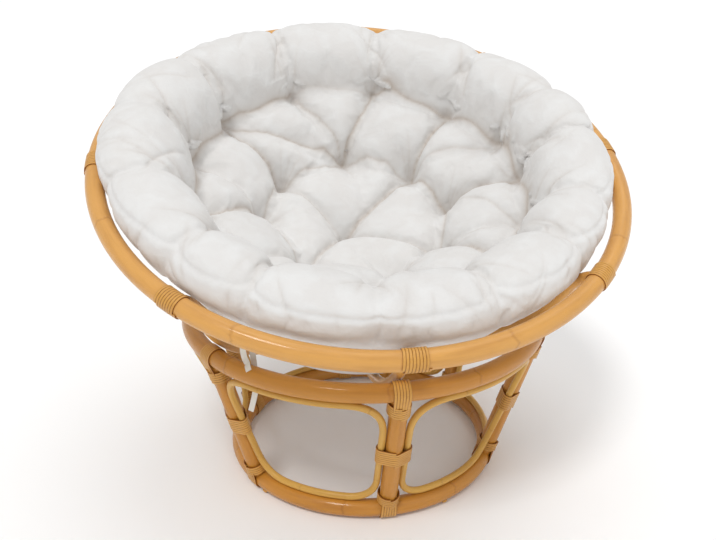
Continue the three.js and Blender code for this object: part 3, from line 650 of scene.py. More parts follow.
def leg_matrix(sizes, azimuth, share):
    """Frame at that share of a leg: Z runs up its middle, X points out of the stand."""
    lean = math.atan2(sizes.top_ring - sizes.bottom_ring, sizes.top_height - sizes.bottom_height)
    radius = sizes.bottom_ring + (sizes.top_ring - sizes.bottom_ring) * share
    height = sizes.bottom_height + (sizes.top_height - sizes.bottom_height) * share
    return (STAND_FRAME @ Matrix.Translation(outward(azimuth) * radius + UP * height)
            @ Matrix.Rotation(azimuth - TURN / 4, 4, "Z") @ Matrix.Rotation(lean, 4, "Y"))


def nail_heads(sizes):
    """Low round heads of the nails under the lower ring."""
    verts, faces = [], []
    for turn in NAIL_TURNS:
        out = outward(TURN * turn)
        face = out * math.cos(NAIL_LEAN) + UP * math.sin(NAIL_LEAN)
        side = UP.cross(out)
        up = face.cross(side)
        foot = STAND_FRAME @ (out * sizes.bottom_ring + UP * sizes.bottom_height)
        foot += face * (sizes.ring_pole - NAIL_SUNK)
        start = len(verts)
        for radius, height in NAIL_ROWS:
            for n in range(NAIL_SIDES):
                angle = TURN * n / NAIL_SIDES
                verts.append(foot + face * height + (side * math.cos(angle) + up * math.sin(angle)) * radius)
        faces += tube_faces(start, len(NAIL_ROWS) - 1, NAIL_SIDES)
        faces.append(tuple(range(len(verts) - NAIL_SIDES, len(verts))))
        faces.append(tuple(range(start, start + NAIL_SIDES))[::-1])
    mesh = new_mesh("ring_nails", verts, faces, smooth_quads=True)
    return link_mesh("ring_nails", mesh, finish("split_cane"))


class PAPASAN_OT_rings(bpy.types.Operator):
    """Makes the two rings of the stand and the nail heads under the lower one"""

    bl_idname = "papasan.rings"
    bl_label = "Rings"

    def execute(self, context):
        sizes = context.scene.papasan_stand
        for name, node, radius, height in (
                ("upper_ring", "base_top_ring", sizes.top_ring, sizes.top_height),
                ("lower_ring", "base_bottom_ring", sizes.bottom_ring, sizes.bottom_height)):
            ring = round_pole(name, STAND_FRAME, radius, height, sizes.ring_pole, "varnished_rattan",
                              steps=144, sides=32, swell=0.006)
            dress(ring, "stand", "pole", node)
        nails = nail_heads(sizes)
        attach(nails, "stand")
        return {"FINISHED"}


class PAPASAN_OT_legs(bpy.types.Operator):
    """Makes the six legs"""

    bl_idname = "papasan.legs"
    bl_label = "Legs"

    def execute(self, context):
        sizes = context.scene.papasan_stand
        steps, inset = 24, 0.02
        for leg in range(LEG_COUNT):
            azimuth = TURN * leg / LEG_COUNT
            low, high = (leg_matrix(sizes, azimuth, share).translation for share in (0, 1))
            centres = [low.lerp(high, inset + (1 - 2 * inset) * step / steps) for step in range(steps + 1)]
            piece = pole(f"stand_leg_{leg + 1}", centres, [outward(azimuth)] * len(centres), sizes.leg_pole,
                         "varnished_rattan", sides=32, swell=0.012)
            dress(piece, "stand", "pole", f"leg_{leg + 1}")
        return {"FINISHED"}


class PAPASAN_OT_panel_hoops(bpy.types.Operator):
    """Makes the thin cane hoop in each panel"""

    bl_idname = "papasan.panel_hoops"
    bl_label = "Panel hoops"

    def outline(self, sizes):
        """Half width and height along the hoop, drawn flat, the hoop's height, and where its foot is."""
        seat = sizes.ring_pole + sizes.hoop_cane + HOOP_GAP
        height = sizes.top_height - sizes.bottom_height - 2 * seat
        offset = sizes.leg_pole + sizes.hoop_cane + HOOP_GAP

        def half(radius):
            return radius * (math.pi / LEG_COUNT - math.asin(offset / radius))
        low, high = Vector((half(sizes.bottom_ring), 0)), Vector((half(sizes.top_ring), height))
        side = (high - low).normalized()
        corner_low, corner_high = HOOP_CORNERS
        low_in, high_in = low - Vector((corner_low, 0)), high - Vector((corner_high, 0))
        low_up, high_down = low + side * corner_low, high - side * corner_high
        right = [low_in] + [bezier(low_in, low, low_up, n / 12) for n in range(1, 13)]
        right += [low_up.lerp(high_down, n / 10) for n in range(1, 11)]
        right += [bezier(high_down, high, high_in, n / 14) for n in range(1, 15)]
        left = [Vector((-point.x, point.y)) for point in reversed(right)]
        top = [right[-1].lerp(left[0], n / 12) for n in range(1, 12)]
        bottom = [left[-1].lerp(right[0], n / 8) for n in range(1, 8)]
        return right + top + left + bottom, height, sizes.bottom_height + seat

    def execute(self, context):
        sizes = context.scene.papasan_stand
        outline, height, base = self.outline(sizes)
        for panel in range(LEG_COUNT):
            azimuth = TURN * (panel + 0.5) / LEG_COUNT
            centres, outs = [], []
            for point in outline:
                radius = sizes.bottom_ring + (sizes.top_ring - sizes.bottom_ring) * point.y / height
                out = outward(azimuth + point.x / radius)
                centres.append(STAND_FRAME @ (out * radius + UP * (base + point.y)))
                outs.append(out)
            hoop = pole(f"panel_cane_{panel + 1}", centres, outs, sizes.hoop_cane, "peeled_cane", sides=16,
                        closed=True)
            dress(hoop, "stand", "cane", f"panel_hoop_{panel + 1}")
        return {"FINISHED"}


def strap_paths(sizes, cane, reach):
    """Strands over a ring and down both faces of the leg, in the joint's frame with the leg along +Z."""
    bend = sizes.ring_pole + cane.strand_thickness / 2 + STRAP_GAP
    hug = sizes.leg_pole + cane.strand_thickness / 2
    arc_steps, leg_steps = 20, 8
    paths = []
    for strand in range(cane.strap_strands):
        y = (strand - (cane.strap_strands - 1) / 2) * cane.strand_pitch
        leg = []
        for step in range(leg_steps + 1):
            share = step / leg_steps
            near = y * (1 - STRAP_NARROWS * share)
            x = bend + (math.sqrt(max(hug ** 2 - near ** 2, 0.0)) - bend) * share ** 1.5
            leg.append(Vector((max(x, STRAP_LEAST), near, reach * share)))
        angles = [math.pi * (n + 0.5) / arc_steps for n in range(arc_steps)]
        arc = [Vector((bend * math.cos(angle), y, -bend * math.sin(angle))) for angle in angles]
        paths.append(leg[::-1] + arc + [Vector((-point.x, point.y, point.z)) for point in leg])
    return paths


def strap_strands(name, sizes, cane, reach, place, seed):
    # The tree lays its strands flat against vertical planes, so the straps are swept standing up.
    stand_up = Matrix.Rotation(TURN / 4, 4, "X")
    upright = [[stand_up @ point for point in path] for path in strap_paths(sizes, cane, reach)]
    straps = strands(name, upright, seed, jitter=0.0)
    straps.data.transform(place @ stand_up.inverted())
    return straps


class PAPASAN_OT_stand_lashings(bpy.types.Operator):
    """Winds split cane round the joints of the stand"""

    bl_idname = "papasan.stand_lashings"
    bl_label = "Stand lashings"

    def execute(self, context):
        sizes, cane = context.scene.papasan_stand, context.scene.papasan_lashings
        pitch = cane.strand_pitch
        upside_down = Matrix.Rotation(math.pi, 4, "X")
        start = sizes.ring_pole + cane.strand_thickness + NECK_GAP
        neck_outline = circle_outline(sizes.leg_pole + cane.strand_thickness * NECK_PROUD)
        offset, hoop_room = sizes.leg_pole + sizes.hoop_cane, sizes.hoop_cane + HOOP_SLACK
        bars = [(0, 0, sizes.leg_pole), (0, offset, hoop_room), (0, -offset, hoop_room)]
        middle_outline = bundle_outline(bars, cane.strand_thickness / 2 + MIDDLE_GAP)
        ends = (("top", 1, upside_down, cane.top_turns), ("bottom", 0, Matrix.Identity(4), cane.bottom_turns))
        for leg in range(LEG_COUNT):
            azimuth = TURN * leg / LEG_COUNT
            for end, share, turned, turns in ends:
                place = leg_matrix(sizes, azimuth, share) @ turned
                reach = start + pitch * turns * STRAP_REACH
                straps = strap_strands(f"{end}_strap_{leg + 1}", sizes, cane, reach, place, seed=leg + 40)
                path = helix(neck_outline, turns, pitch, NECK_STEPS)
                neck = strands(f"{end}_neck_{leg + 1}", [path], seed=leg)
                neck.data.transform(place @ Matrix.Translation((0, 0, start + pitch * (turns + 1) / 2)))
                lashing = joined(f"{end}_joint_{leg + 1}", [neck, straps])
                dress(lashing, "stand", "lashing", f"{end}_lashing_{leg + 1}")
            path = helix(middle_outline, cane.middle_turns, pitch, MIDDLE_STEPS)
            middle = strands(f"middle_joint_{leg + 1}", [path], seed=leg + 20)
            middle.data.transform(leg_matrix(sizes, azimuth, 0.5))
            dress(middle, "stand", "lashing", f"middle_lashing_{leg + 1}")
        return {"FINISHED"}


# Bowl


def hoop_sphere(bowl):
    """Radius of the sphere that the low hoop's middle lies on, inside the ribs."""
    return bowl.rib_sphere - bowl.rib_cane - bowl.hoop_cane


class PAPASAN_OT_bowl(bpy.types.Operator):
    """Makes the bowl's rim, ribs and low hoop"""

    bl_idname = "papasan.bowl"
    bl_label = "Bowl"

    def rib_centres(self, sizes, out):
        """Middles of a rib, up its sphere from the low hoop and then in a bend to the rim."""
        low = math.asin(sizes.hoop / hoop_sphere(sizes)) - RIB_OVERRUN / sizes.rib_sphere
        steps = 40
        angles = [low + (RIB_BEND - low) * n / steps for n in range(steps)] + [RIB_BEND]
        *arc, start = [sizes.rib_sphere * (out * math.sin(angle) - UP * math.cos(angle)) for angle in angles]
        end = out * sizes.rim - UP * sizes.rim_drop
        climb = (end - start).length / 2
        control = start + climb * (out * math.cos(RIB_BEND) + UP * math.sin(RIB_BEND))
        end = end.lerp(control, RIB_STOP)
        return [BOWL_FRAME @ point for point in arc + [bezier(start, control, end, n / 12) for n in range(13)]]

    def execute(self, context):
        sizes = context.scene.papasan_bowl
        rim = round_pole("rim_pole", BOWL_FRAME, sizes.rim, -sizes.rim_drop, sizes.rim_pole, "rim_rattan",
                         steps=192, sides=36, swell=0.006)
        dress(rim, "bowl", "pole", "bowl_rim")
        depth = math.sqrt(hoop_sphere(sizes) ** 2 - sizes.hoop ** 2)
        hoop = round_pole("low_hoop", BOWL_FRAME, sizes.hoop, -depth, sizes.hoop_cane, "rim_rattan",
                          steps=96, sides=20)
        dress(hoop, "bowl", "pole", "bowl_bottom_hoop")
        for rib in range(RIB_COUNT):
            centres = self.rib_centres(sizes, outward(TURN * rib / RIB_COUNT))
            outs = [(centre - BOWL_CENTRE).normalized() for centre in centres]
            piece = pole(f"rib_{rib + 1}", centres, outs, sizes.rib_cane, "rim_rattan", sides=20, swell=0.01)
            dress(piece, "bowl", "pole", f"bowl_rib_{rib + 1}")
        return {"FINISHED"}


class PAPASAN_OT_rim_lashings(bpy.types.Operator):
    """Winds split cane round the rim over each rib's end"""

    bl_idname = "papasan.rim_lashings"
    bl_label = "Rim lashings"

    def execute(self, context):
        sizes, cane = context.scene.papasan_bowl, context.scene.papasan_lashings
        outline = circle_outline(sizes.rim_pole + cane.strand_thickness / 2)
        straight = helix(outline, cane.rim_turns, cane.strand_pitch, RIM_STEPS)
        for rib in range(RIB_COUNT):
            azimuth = TURN * rib / RIB_COUNT
            lashing = strands(f"rim_joint_{rib + 1}", [straight], seed=rib + 60)
            # Bend the straight winding round the rim: its Z becomes the way along the rim.
            for vertex in lashing.data.vertices:
                across, up, along = vertex.co
                out = outward(azimuth + along / sizes.rim)
                vertex.co = BOWL_FRAME @ (out * (sizes.rim + across) + UP * (up - sizes.rim_drop))
            lashing.data.update()
            dress(lashing, "bowl", "lashing", f"rim_lashing_{rib + 1}")
        return {"FINISHED"}


# Tie tape


def ribbon(name, points, facing, width, thickness):
    """A flat tape along the points. facing is the way its flat side looks at each end of them."""
    last = len(points) - 1
    corners = ((1, 1), (1, -1), (-1, -1), (-1, 1))
    verts = []
    for n, place in enumerate(points):
        along = (points[min(n + 1, last)] - points[max(n - 1, 0)]).normalized()
        across = along.cross(Vector(facing[0]).lerp(Vector(facing[1]), n / last)).normalized()
        flat = across.cross(along)
        for side, deep in corners:
            verts.append(place + across * (side * width / 2) + flat * (deep * thickness / 2))
    faces = [(3, 2, 1, 0), tuple(range(len(verts) - 4, len(verts)))] + tube_faces(0, last, len(corners))
    return link_mesh(name, new_mesh(name, verts, faces), finish("cotton_tape"))


def spline(places, steps):
    """A smooth line through the places."""
    places = [2 * places[0] - places[1]] + places + [2 * places[-1] - places[-2]]
    line = []
    for a, b, c, d in zip(places, places[1:], places[2:], places[3:]):
        for n in range(steps):
            t = n / steps
            line.append(0.5 * (2 * b + (c - a) * t + (2 * a - 5 * b + 4 * c - d) * t ** 2
                               + (3 * b - a - 3 * c + d) * t ** 3))
    return line + [places[-2]]


class PAPASAN_OT_tie_tape(bpy.types.Operator):
    """Makes the two tails of the cushion's tie tape, one over the upper ring and one inside it"""

    bl_idname = "papasan.tie_tape"
    bl_label = "Tie tape"

    def execute(self, context):
        cushion = context.scene.papasan_cushion
        for name, places, facing in TAPE_TAILS:
            line = spline([Vector(place) + Vector((0, BOWL_CENTRE.y, 0)) for place in places], TAPE_STEPS)
            tail = ribbon(name, line, facing, cushion.tape_width, cushion.tape_thickness)
            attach(tail, "cushion")
        return {"FINISHED"}


# Cushion


def tuft_places(sizes):
    """Plan places of the tufts: the middle one, the inner ring and the outer ring."""
    def at(radius, turn):
        return np.array((radius * math.sin(TURN * turn), -radius * math.cos(TURN * turn)))
    inner = [at(INNER_TUFT_RADIUS, turn) for turn in INNER_TUFT_TURNS]
    outer = [at(sizes.crease, turn) for turn in OUTER_TUFT_TURNS]
    return at(MIDDLE_TUFT_RADIUS, MIDDLE_TUFT_TURN), inner, outer


def all_tufts(sizes):
    middle, inner, outer = tuft_places(sizes)
    return [middle] + inner + outer


def fold_lines(sizes):
    """Folds of the seat as (start, end, strength), with those along the outer ring first."""
    middle, inner, outer = tuft_places(sizes)
    folds = []
    for ring, strength, other in ((outer, OUTER_FOLD, OTHER_OUTER_FOLD), (inner, INNER_FOLD, OTHER_INNER_FOLD)):
        folds += [(place, ring[(n + 1) % len(ring)], other.get(n, strength)) for n, place in enumerate(ring)]
    folds += [(inner[a], outer[b], strength) for a, b, strength in RADIAL_FOLDS]
    folds += [(middle, inner[a], strength) for a, strength in MIDDLE_FOLDS]
    return folds


def line_place(plan, start, end):
    """Share of the way from start to end nearest to each point, and how far off that line the point is."""
    way = end - start
    along = np.clip((plan - start) @ way / (way @ way), 0, 1)
    return along, np.linalg.norm(plan - start - along[:, None] * way, axis=1)


def pillow(distance, reach):
    """0 in a fold, rising round like a stuffed pad to 1 at reach."""
    near = np.clip(distance / reach, 0, 1)
    return np.sqrt(np.clip(1 - (1 - near) ** 2, 0, 1))


def puff_share(plan, sizes):
    """Share of the full pad height at points of the seat, drawn down along folds and at tufts."""
    share = np.ones(len(plan))
    for start, end, strength in fold_lines(sizes):
        along, away = line_place(plan, start, end)
        sag = strength * (FOLD_SLACK + (1 - FOLD_SLACK) * np.abs(2 * along - 1) ** 1.5)
        share *= 1 - sag * (1 - pillow(away, FOLD_REACH))
    for tuft in all_tufts(sizes):
        share *= pillow(np.linalg.norm(plan - tuft, axis=1), TUFT_REACH)
    return share


def short_way(turns):
    """The same difference in turns, brought within half a turn either way."""
    return (turns + 0.5) % 1 - 0.5


def lobe_spans():
    """Middle and width of each lobe of the border, in turns."""
    ends = np.array(OUTER_TUFT_TURNS)
    spans = (ends - np.roll(ends, 1)) % 1
    return ends - spans / 2, spans


def lobe_rise(turn, sizes):
    """How far the border stands out at each turn beyond an even one, going from lobe to lobe."""
    middles, _ = lobe_spans()
    return sizes.lobe_swell * (2 * np.interp(turn, middles, LOBE_FULLNESS, period=1) - 1)


def valley_reach(turn):
    """Share of the crease's radius at which the straight folds between outer tufts run at each turn."""
    middles, spans = lobe_spans()
    off = short_way(turn[:, None] - middles[None, :])
    lobe = np.abs(off / spans).argmin(axis=1)
    row = np.arange(len(turn))
    return np.cos(TURN * spans[lobe] / 2) / np.cos(TURN * off[row, lobe])


def cushion_profile(sizes):
    """Section of the cushion from its middle out over the border and down round the underside. Each row
    is its radius, height and part, and how far a full lobe moves it out and up."""
    bowl = bpy.context.scene.papasan_bowl
    rows = []
    for n in range(SEAT_ROWS + 1):
        radius = sizes.crease * n / SEAT_ROWS
        height = -sizes.dish + (sizes.dish - sizes.crease_depth) * (radius / sizes.crease) ** 2
        rows.append((radius, height, "seat", 0, 0))
    for n in range(1, WALL_ROWS + 1):
        angle = TURN / 4 * (1 - n / WALL_ROWS)
        rows.append((sizes.crest - (sizes.crest - sizes.crease - WALL_LEAN) * math.sin(angle),
                     WALL_FOOT + (sizes.crest_height - WALL_FOOT) * math.cos(angle), "border",
                     0, math.cos(angle)))
    for n in range(1, CREST_ROWS + 1):
        angle = TURN / 4 * n / CREST_ROWS
        rows.append((sizes.crest + (sizes.edge - sizes.crest) * math.sin(angle),
                     sizes.edge_height + (sizes.crest_height - sizes.edge_height) * math.cos(angle), "border",
                     math.sin(angle), math.cos(angle)))
    face = bowl.rib_sphere - bowl.rib_cane - RIB_GAP
    lift_point = (face * math.sin(LIFT_ANGLE), bowl.rim_drop - face * math.cos(LIFT_ANGLE))
    edge = (sizes.edge, sizes.edge_height)
    bulge = tuple(far + (near - far) * share for near, far, share in zip(edge, lift_point, SIDE_FULLNESS))
    for n in range(1, SIDE_ROWS + 1):
        share = n / SIDE_ROWS
        place = tuple(a * (1 - share) ** 2 + b * 2 * share * (1 - share) + c * share ** 2
                      for a, b, c in zip(edge, bulge, lift_point))
        rows.append(place + ("side", max(0, 1 - SIDE_SWELL_END * share), 0))
    hoop_angle = math.asin(bowl.hoop / hoop_sphere(bowl))
    for n in range(1, UNDER_ROWS + 1):
        angle = LIFT_ANGLE * (1 - n / UNDER_ROWS)
        ease = min(max((angle - hoop_angle - HOOP_LEDGE) / HOOP_EASE, 0), 1)
        radius = (hoop_sphere(bowl) - bowl.hoop_cane - HOOP_TOP_GAP) * (1 - ease) + face * ease
        rows.append((radius * math.sin(angle), bowl.rim_drop - radius * math.cos(angle), "under", 0, 0))
    return rows


def base_cushion(sizes):
    """The cushion before its filling swells: a closed shell in the plane of the rim."""
    steps = COVER_STEPS
    rows = cushion_profile(sizes)
    ring = np.arange(steps) / steps
    azimuth = TURN * ring
    tufts = np.array(OUTER_TUFT_TURNS)
    away = np.abs(short_way(ring[:, None] - tufts[None, :]))
    lobe = pillow(away.min(axis=1), 0.5 / len(tufts))
    fuller = lobe_rise(ring, sizes)
    pull = sizes.crease * (1 - valley_reach(ring))
    points = []
    for k, (radius, height, part, swell_out, swell_up) in enumerate(rows[1:-1], 1):
        before, after = rows[k - 1], rows[k + 1]
        run, rise = after[0] - before[0], after[1] - before[1]
        size = math.hypot(run, rise)
        out_n, up_n = -rise / size, run / size
        past_crease = max(sizes.crest - radius, 0) / (sizes.crest - sizes.crease)
        inset = pull * min(radius / sizes.crease, past_crease) ** 2
        reach = radius - inset if part in ("seat", "border") else radius + np.zeros(steps)
        if part == "seat":
            plan = np.stack([reach * np.sin(azimuth), -reach * np.cos(azimuth)], axis=1)
            pad = puff_share(plan, sizes)
            fade = min(max((radius - (sizes.crease - PAD_EDGE)) / PAD_EDGE, 0), 1)
            lift = sizes.puff * pad * (1 - fade) + fade * sizes.puff * pad * PAD_EDGE_SHARE
        elif part == "border":
            lift = -BORDER_NOTCH * (1 - lobe)
        elif part == "side":
            fade = max(0.0, 1 - (sizes.edge_height - height) / NOTCH_RUN)
            lift = -SIDE_NOTCH * (1 - lobe) * fade
        else:
            lift = np.zeros(steps)
        r = reach + out_n * lift + swell_out * fuller
        z = height + up_n * lift + swell_up * fuller
        points.append(np.stack([r * np.sin(azimuth), -r * np.cos(azimuth), z + np.zeros(steps)], axis=1))
    top = np.array([[0, 0, -sizes.dish + sizes.puff * puff_share(np.zeros((1, 2)), sizes)[0]]])
    bottom = np.array([[0, 0, rows[-1][1]]])
    verts = np.concatenate([top] + points + [bottom])
    count = len(points)
    faces = []
    for n in range(steps):
        m = (n + 1) % steps
        faces.append((0, 1 + n, 1 + m))
        faces.append((len(verts) - 1, 1 + (count - 1) * steps + m, 1 + (count - 1) * steps + n))
        for row in range(count - 1):
            a, b = 1 + row * steps, 1 + (row + 1) * steps
            faces.append((a + n, b + n, b + m, a + m))
    return new_mesh("cushion_cover", verts.tolist(), faces)


def read_vectors(mesh, field):
    """The places (co) or normals (normal) of the mesh's points."""
    flat = np.empty(len(mesh.vertices) * 3, dtype=np.float32)
    mesh.vertices.foreach_get(field, flat)
    return flat.reshape(-1, 3).astype(float)


def write_points(mesh, points):
    mesh.vertices.foreach_set("co", points.astype(np.float32).ravel())
    mesh.update()


def applied(piece):
    """The piece's modifiers become part of its mesh."""
    mesh = bpy.data.meshes.new_from_object(piece.evaluated_get(bpy.context.evaluated_depsgraph_get()))
    old = piece.data
    piece.modifiers.clear()
    piece.data = mesh
    bpy.data.meshes.remove(old)
    return mesh


def hold_weights(points, normals, sizes):
    """How firmly the cover is held at each point: wholly at tufts and on the underside, partly in folds."""
    plan = points[:, :2]
    upper = normals[:, 2] > FACES_UP
    seat = upper & (np.linalg.norm(plan, axis=1) < sizes.crease + SEAT_MARGIN)
    under = ~upper & (points[:, 2] < UNDER_TOP)
    tufts = np.array(all_tufts(sizes))
    close = np.linalg.norm(plan[:, None, :] - tufts[None], axis=2).min(axis=1)
    hold = np.where((close < sizes.voxel * TUFT_HOLD_REACH) & seat | under, 1.0, 0.0)
    for n, (start, end, strength) in enumerate(fold_lines(sizes)):
        grip = OUTER_FOLD_HOLD if n < len(OUTER_TUFT_TURNS) else FOLD_HOLD * strength
        _, away = line_place(plan, start, end)
        hold = np.maximum(hold, np.where(seat & (away < sizes.voxel * FOLD_HOLD_REACH), grip, 0))
    return hold


def swell_cloth(piece, sizes):
    """Fills the cover: air pressure swells the cloth wherever it isn't held."""
    start = read_vectors(piece.data, "co")
    hold = hold_weights(start, read_vectors(piece.data, "normal"), sizes)
    group = piece.vertex_groups.new(name=CLOTH["vertex_group_mass"])
    for weight in np.unique(hold[hold > 0]):
        group.add(np.nonzero(hold == weight)[0].tolist(), float(weight), "REPLACE")
    cloth = piece.modifiers.new("Cloth", "CLOTH")
    for name, value in CLOTH.items():
        setattr(cloth.settings, name, value)
    cloth.settings.effector_weights.gravity = 0
    cloth.collision_settings.use_collision = False
    scene = bpy.context.scene
    for step in range(1, FILL_FRAMES + 1):
        scene.frame_set(step)
    evaluated = piece.evaluated_get(bpy.context.evaluated_depsgraph_get())
    shift = read_vectors(evaluated.to_mesh(), "co") - start
    evaluated.to_mesh_clear()
    piece.modifiers.clear()
    scene.frame_set(1)
    far = np.linalg.norm(shift, axis=1)
    scale = np.minimum(1, sizes.swell / np.maximum(far, 1e-9))
    write_points(piece.data, start + shift * scale[:, None])


def crease_shape(away, width):
    """Section across a sharp fold: a narrow valley between soft slopes."""
    slopes = np.exp(-(away / (CREASE_SLOPES * width)) ** 2)
    return -CREASE_SHARP * np.exp(-away / width) - (1 - CREASE_SHARP) * slopes


def wander(plan, amount):
    """Moves plan places a little, so that folds don't run dead straight: crossed waves of unlike lengths."""
    x, y = plan[:, 0], plan[:, 1]
    shift = np.stack([np.sin(31 * y + 1.7 * np.sin(23 * x)), np.sin(29 * x + 1.9 * np.sin(27 * y))], axis=1)
    return plan + amount * shift


def seat_creases(sizes, random):
    """Thin folds of the seat as (start, end, depth at start, depth at end): the sewn ones between
    tufts, and loose ones that run out from each tuft and fade."""
    lines = [(start, end, SEWN_DEPTH * strength, SEWN_DEPTH * strength)
             for start, end, strength in fold_lines(sizes)]
    for tuft in all_tufts(sizes):
        for turn in random.uniform(0, 1, random.integers(*LOOSE_COUNT)):
            way = np.array((math.cos(TURN * turn), math.sin(TURN * turn)))
            reach = random.uniform(*LOOSE_LENGTH)
            lines.append((tuft + LOOSE_START * way, tuft + reach * way, random.uniform(*LOOSE_DEPTH), 0.0))
    return lines


def border_pleats(random):
    """Pleats across the border as (turn, slant, middle angle, half span, depth, width). The angle runs
    round the border's section, from the outer side over the crest to the inner wall."""
    def pleat(turn, slant, *spans):
        return turn, random.normal(0, slant), *[random.uniform(*span) for span in spans]
    pleats = [pleat(turn + random.normal(0, TUFT_PLEAT_SPREAD), *TUFT_PLEATS)
              for turn in OUTER_TUFT_TURNS for _ in range(TUFT_PLEAT_COUNT)]
    pleats += [pleat(random.uniform(0, 1), *CREST_PLEATS) for _ in range(CREST_PLEAT_COUNT)]
    pleats += [pleat(random.uniform(0, 1), *SEAM_PLEATS) for _ in range(SEAM_PLEAT_COUNT)]
    return pleats


def crease_cloth(points, normals, sizes):
    """Presses the folds and pleats into the cloth. Returns the points and a 0 to 1 crease mask."""
    random = np.random.default_rng(11)
    lift, mask = np.zeros(len(points)), np.zeros(len(points))
    radius = np.linalg.norm(points[:, :2], axis=1)
    turn = np.arctan2(points[:, 0], -points[:, 1]) / TURN
    seat = np.nonzero((normals[:, 2] > CREASES_UP) & (radius < sizes.crease + CREASES_END))[0]
    plan = wander(points[seat, :2], CREASE_WANDER)
    for start, end, deep_start, deep_end in seat_creases(sizes, random):
        along, away = line_place(plan, start, end)
        depth = deep_start * (1 - along) + deep_end * along
        lift[seat] += depth * crease_shape(away, CREASE_WIDTH)
        mask[seat] = np.maximum(mask[seat], depth / SEAT_SHADE_DEPTH * np.exp(-away / SEAT_SHADE_WIDTH))
    border = np.nonzero((points[:, 2] > PLEATS_LOW) & (radius > sizes.crease - PLEATS_START))[0]
    section = np.arctan2(points[border, 2] - BORDER_HEIGHT, radius[border] - BORDER_RADIUS)
    for place, slant, middle, half, depth, width in border_pleats(random):
        off = short_way(turn[border] - place - slant * (section - middle))
        near = np.nonzero(np.abs(off) < PLEAT_SPAN)[0]
        away = np.abs(off[near]) * TURN * radius[border[near]]
        fade = np.clip(1 - ((section[near] - middle) / half) ** 2, 0, 1)
        lift[border[near]] += depth * fade * crease_shape(away, width)
        mark = depth / PLEAT_SHADE_DEPTH * fade * np.exp(-away / (PLEAT_SHADE_WIDTH * width))
        mask[border[near]] = np.maximum(mask[border[near]], mark)
    return points + normals * lift[:, None], np.clip(mask, 0, 1)


def sew_seam(points, normals, sizes):
    """The seam round the border's outer face, a narrow groove with a puckered edge."""
    radius = np.linalg.norm(points[:, :2], axis=1)
    turn = np.arctan2(points[:, 0], -points[:, 1])
    line = SEAM_HEIGHT + sum(height * np.sin(waves * turn) for height, waves in SEAM_WAVES)
    away = np.where(radius > sizes.crest + SEAM_START, np.abs(points[:, 2] - line), 1.0)
    gather = 1 + 0.45 * np.sin(90 * turn + 2 * np.sin(9 * turn))
    groove = (-SEAM_DEPTH * np.exp(-(away / SEAM_WIDTH) ** 2)
              + PUCKER_HEIGHT * gather * np.exp(-((away - PUCKER_OFFSET) / PUCKER_WIDTH) ** 2))
    return points + normals * groove[:, None]


class PAPASAN_OT_cushion(bpy.types.Operator):
    """Makes, fills and sews the tufted cushion"""

    bl_idname = "papasan.cushion"
    bl_label = "Cushion"

    def execute(self, context):
        sizes = context.scene.papasan_cushion
        piece = link_mesh("tufted_cushion", base_cushion(sizes), finish("white_cotton"))
        remesh = piece.modifiers.new("Remesh", "REMESH")
        remesh.mode = "VOXEL"
        remesh.voxel_size = sizes.voxel
        remesh.use_smooth_shade = True
        applied(piece)
        swell_cloth(piece, sizes)
        settle = piece.modifiers.new("Settle", "SMOOTH")
        settle.factor = 0.5
        settle.iterations = 2
        smooth = piece.modifiers.new("Smooth", "SUBSURF")
        smooth.levels = smooth.render_levels = 1
        mesh = applied(piece)
        points, creases = crease_cloth(read_vectors(mesh, "co"), read_vectors(mesh, "normal"), sizes)
        write_points(mesh, points)
        mesh.attributes.new("crease", "FLOAT", "POINT").data.foreach_set("value", creases.astype(np.float32))
        write_points(mesh, sew_seam(read_vectors(mesh, "co"), read_vectors(mesh, "normal"), sizes))
        mesh.transform(BOWL_FRAME @ Matrix.Translation((0, 0, -context.scene.papasan_bowl.rim_drop)))
        mesh.polygons.foreach_set("use_smooth", [True] * len(mesh.polygons))
        mesh.materials.clear()
        mesh.materials.append(finish("white_cotton"))
        mesh.update()
        dress(piece, "cushion", "cloth", "cushion")
        return {"FINISHED"}


# Studio

FLOOR_HALF = 600.0
# Suns: name, the way to it, its softness in degrees and its strength
SUNS = (
    ("key", (-0.55, -0.75, 1.5), 13, 1.05),
    ("top", (0.3, 0.2, 1.5), 40, 0.55),
    ("fill", (0.9, -1.0, 0.5), 40, 0.22),
)
WORLD_STRENGTH = 0.62
# Camera, from the stand's axis: its place, and its right, up and back
CAMERA_PLACE = (-0.26666, -1.47545, 0.99073)
CAMERA_AXES = ((0.986, -0.167, 0.007), (0.053, 0.353, 0.934), (-0.158, -0.921, 0.357))


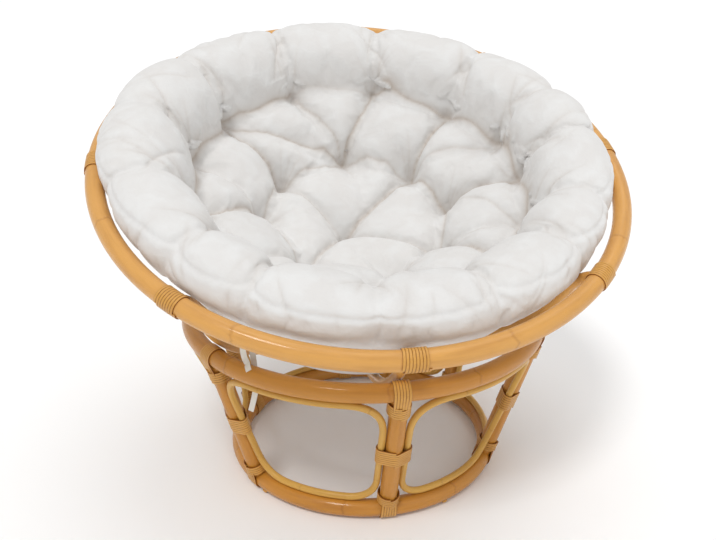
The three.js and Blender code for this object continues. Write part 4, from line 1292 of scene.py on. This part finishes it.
class PAPASAN_OT_stage(bpy.types.Operator):
    """Sets the pale floor, the soft lights and the camera"""

    bl_idname = "papasan.stage"
    bl_label = "Stage"

    def put(self, name, data, matrix):
        item = bpy.data.objects.new(name, data)
        bpy.context.scene.collection.objects.link(item)
        item.matrix_world = matrix
        return item

    def execute(self, context):
        scene = context.scene
        corners = [(x * FLOOR_HALF, y * FLOOR_HALF, 0) for x, y in ((-1, -1), (1, -1), (1, 1), (-1, 1))]
        paint = bpy.data.materials.new("pale_floor")
        paint.use_nodes = True
        shader = paint.node_tree.nodes["Principled BSDF"].inputs
        shader["Base Color"].default_value = (0.97, 0.97, 0.97, 1)
        shader["Roughness"].default_value = 0.9
        shader["Specular IOR Level"].default_value = 0.1
        link_mesh("floor", new_mesh("floor", corners, [(0, 1, 2, 3)]), paint)
        scene.world = bpy.data.worlds.new("studio")
        scene.world.use_nodes = True
        background = scene.world.node_tree.nodes["Background"].inputs
        background["Color"].default_value = (1, 1, 1, 1)
        background["Strength"].default_value = WORLD_STRENGTH
        scene.view_settings.view_transform = "Standard"
        for name, towards, softness, strength in SUNS:
            lamp = bpy.data.lights.new(name, "SUN")
            lamp.energy = strength
            lamp.angle = math.radians(softness)
            self.put(name, lamp, Vector(towards).to_track_quat("Z", "Y").to_matrix().to_4x4())
        camera = bpy.data.cameras.new("camera")
        camera.sensor_fit = "HORIZONTAL"
        camera.sensor_width = 36.0
        camera.lens = 37.43
        place = Matrix.Translation(Vector(CAMERA_PLACE) + Vector((0, BOWL_CENTRE.y, 0)))
        bpy.context.scene.camera = self.put("camera", camera, place @ Matrix(CAMERA_AXES).transposed().to_4x4())
        return {"FINISHED"}


OPERATORS = (
    PAPASAN_OT_stage,
    PAPASAN_OT_tie_tape,
    PAPASAN_OT_rings,
    PAPASAN_OT_legs,
    PAPASAN_OT_panel_hoops,
    PAPASAN_OT_stand_lashings,
    PAPASAN_OT_bowl,
    PAPASAN_OT_rim_lashings,
    PAPASAN_OT_cushion,
)

GROUPS = {
    "papasan_stand": StandSizes,
    "papasan_bowl": BowlSizes,
    "papasan_lashings": LashingSizes,
    "papasan_cushion": CushionSizes,
    "papasan_colours": FinishColours,
}


class PAPASAN_PT_panel(bpy.types.Panel):
    """Lists the chair's sizes, colours and operators"""

    bl_label = "Papasan Chair"
    bl_idname = "PAPASAN_PT_panel"
    bl_space_type = "VIEW_3D"
    bl_region_type = "UI"
    bl_category = "Papasan"

    def draw(self, context):
        for group in GROUPS:
            settings = getattr(context.scene, group)
            box = self.layout.box()
            box.label(text=group.replace("papasan_", "").title())
            for name in settings.bl_rna.properties.keys():
                if name not in ("rna_type", "name"):
                    box.prop(settings, name)
        for operator in OPERATORS:
            self.layout.operator(operator.bl_idname)


def register():
    for group in GROUPS.values():
        bpy.utils.register_class(group)
    for operator in OPERATORS:
        bpy.utils.register_class(operator)
    bpy.utils.register_class(PAPASAN_PT_panel)
    for name, group in GROUPS.items():
        setattr(bpy.types.Scene, name, bpy.props.PointerProperty(type=group))


def unregister():
    for name in GROUPS:
        delattr(bpy.types.Scene, name)
    bpy.utils.unregister_class(PAPASAN_PT_panel)
    for operator in reversed(OPERATORS):
        bpy.utils.unregister_class(operator)
    for group in reversed(list(GROUPS.values())):
        bpy.utils.unregister_class(group)


def main():
    register()
    for operator in OPERATORS:
        group, name = operator.bl_idname.split(".")
        getattr(getattr(bpy.ops, group), name)()


if __name__ == "__main__":
    main()
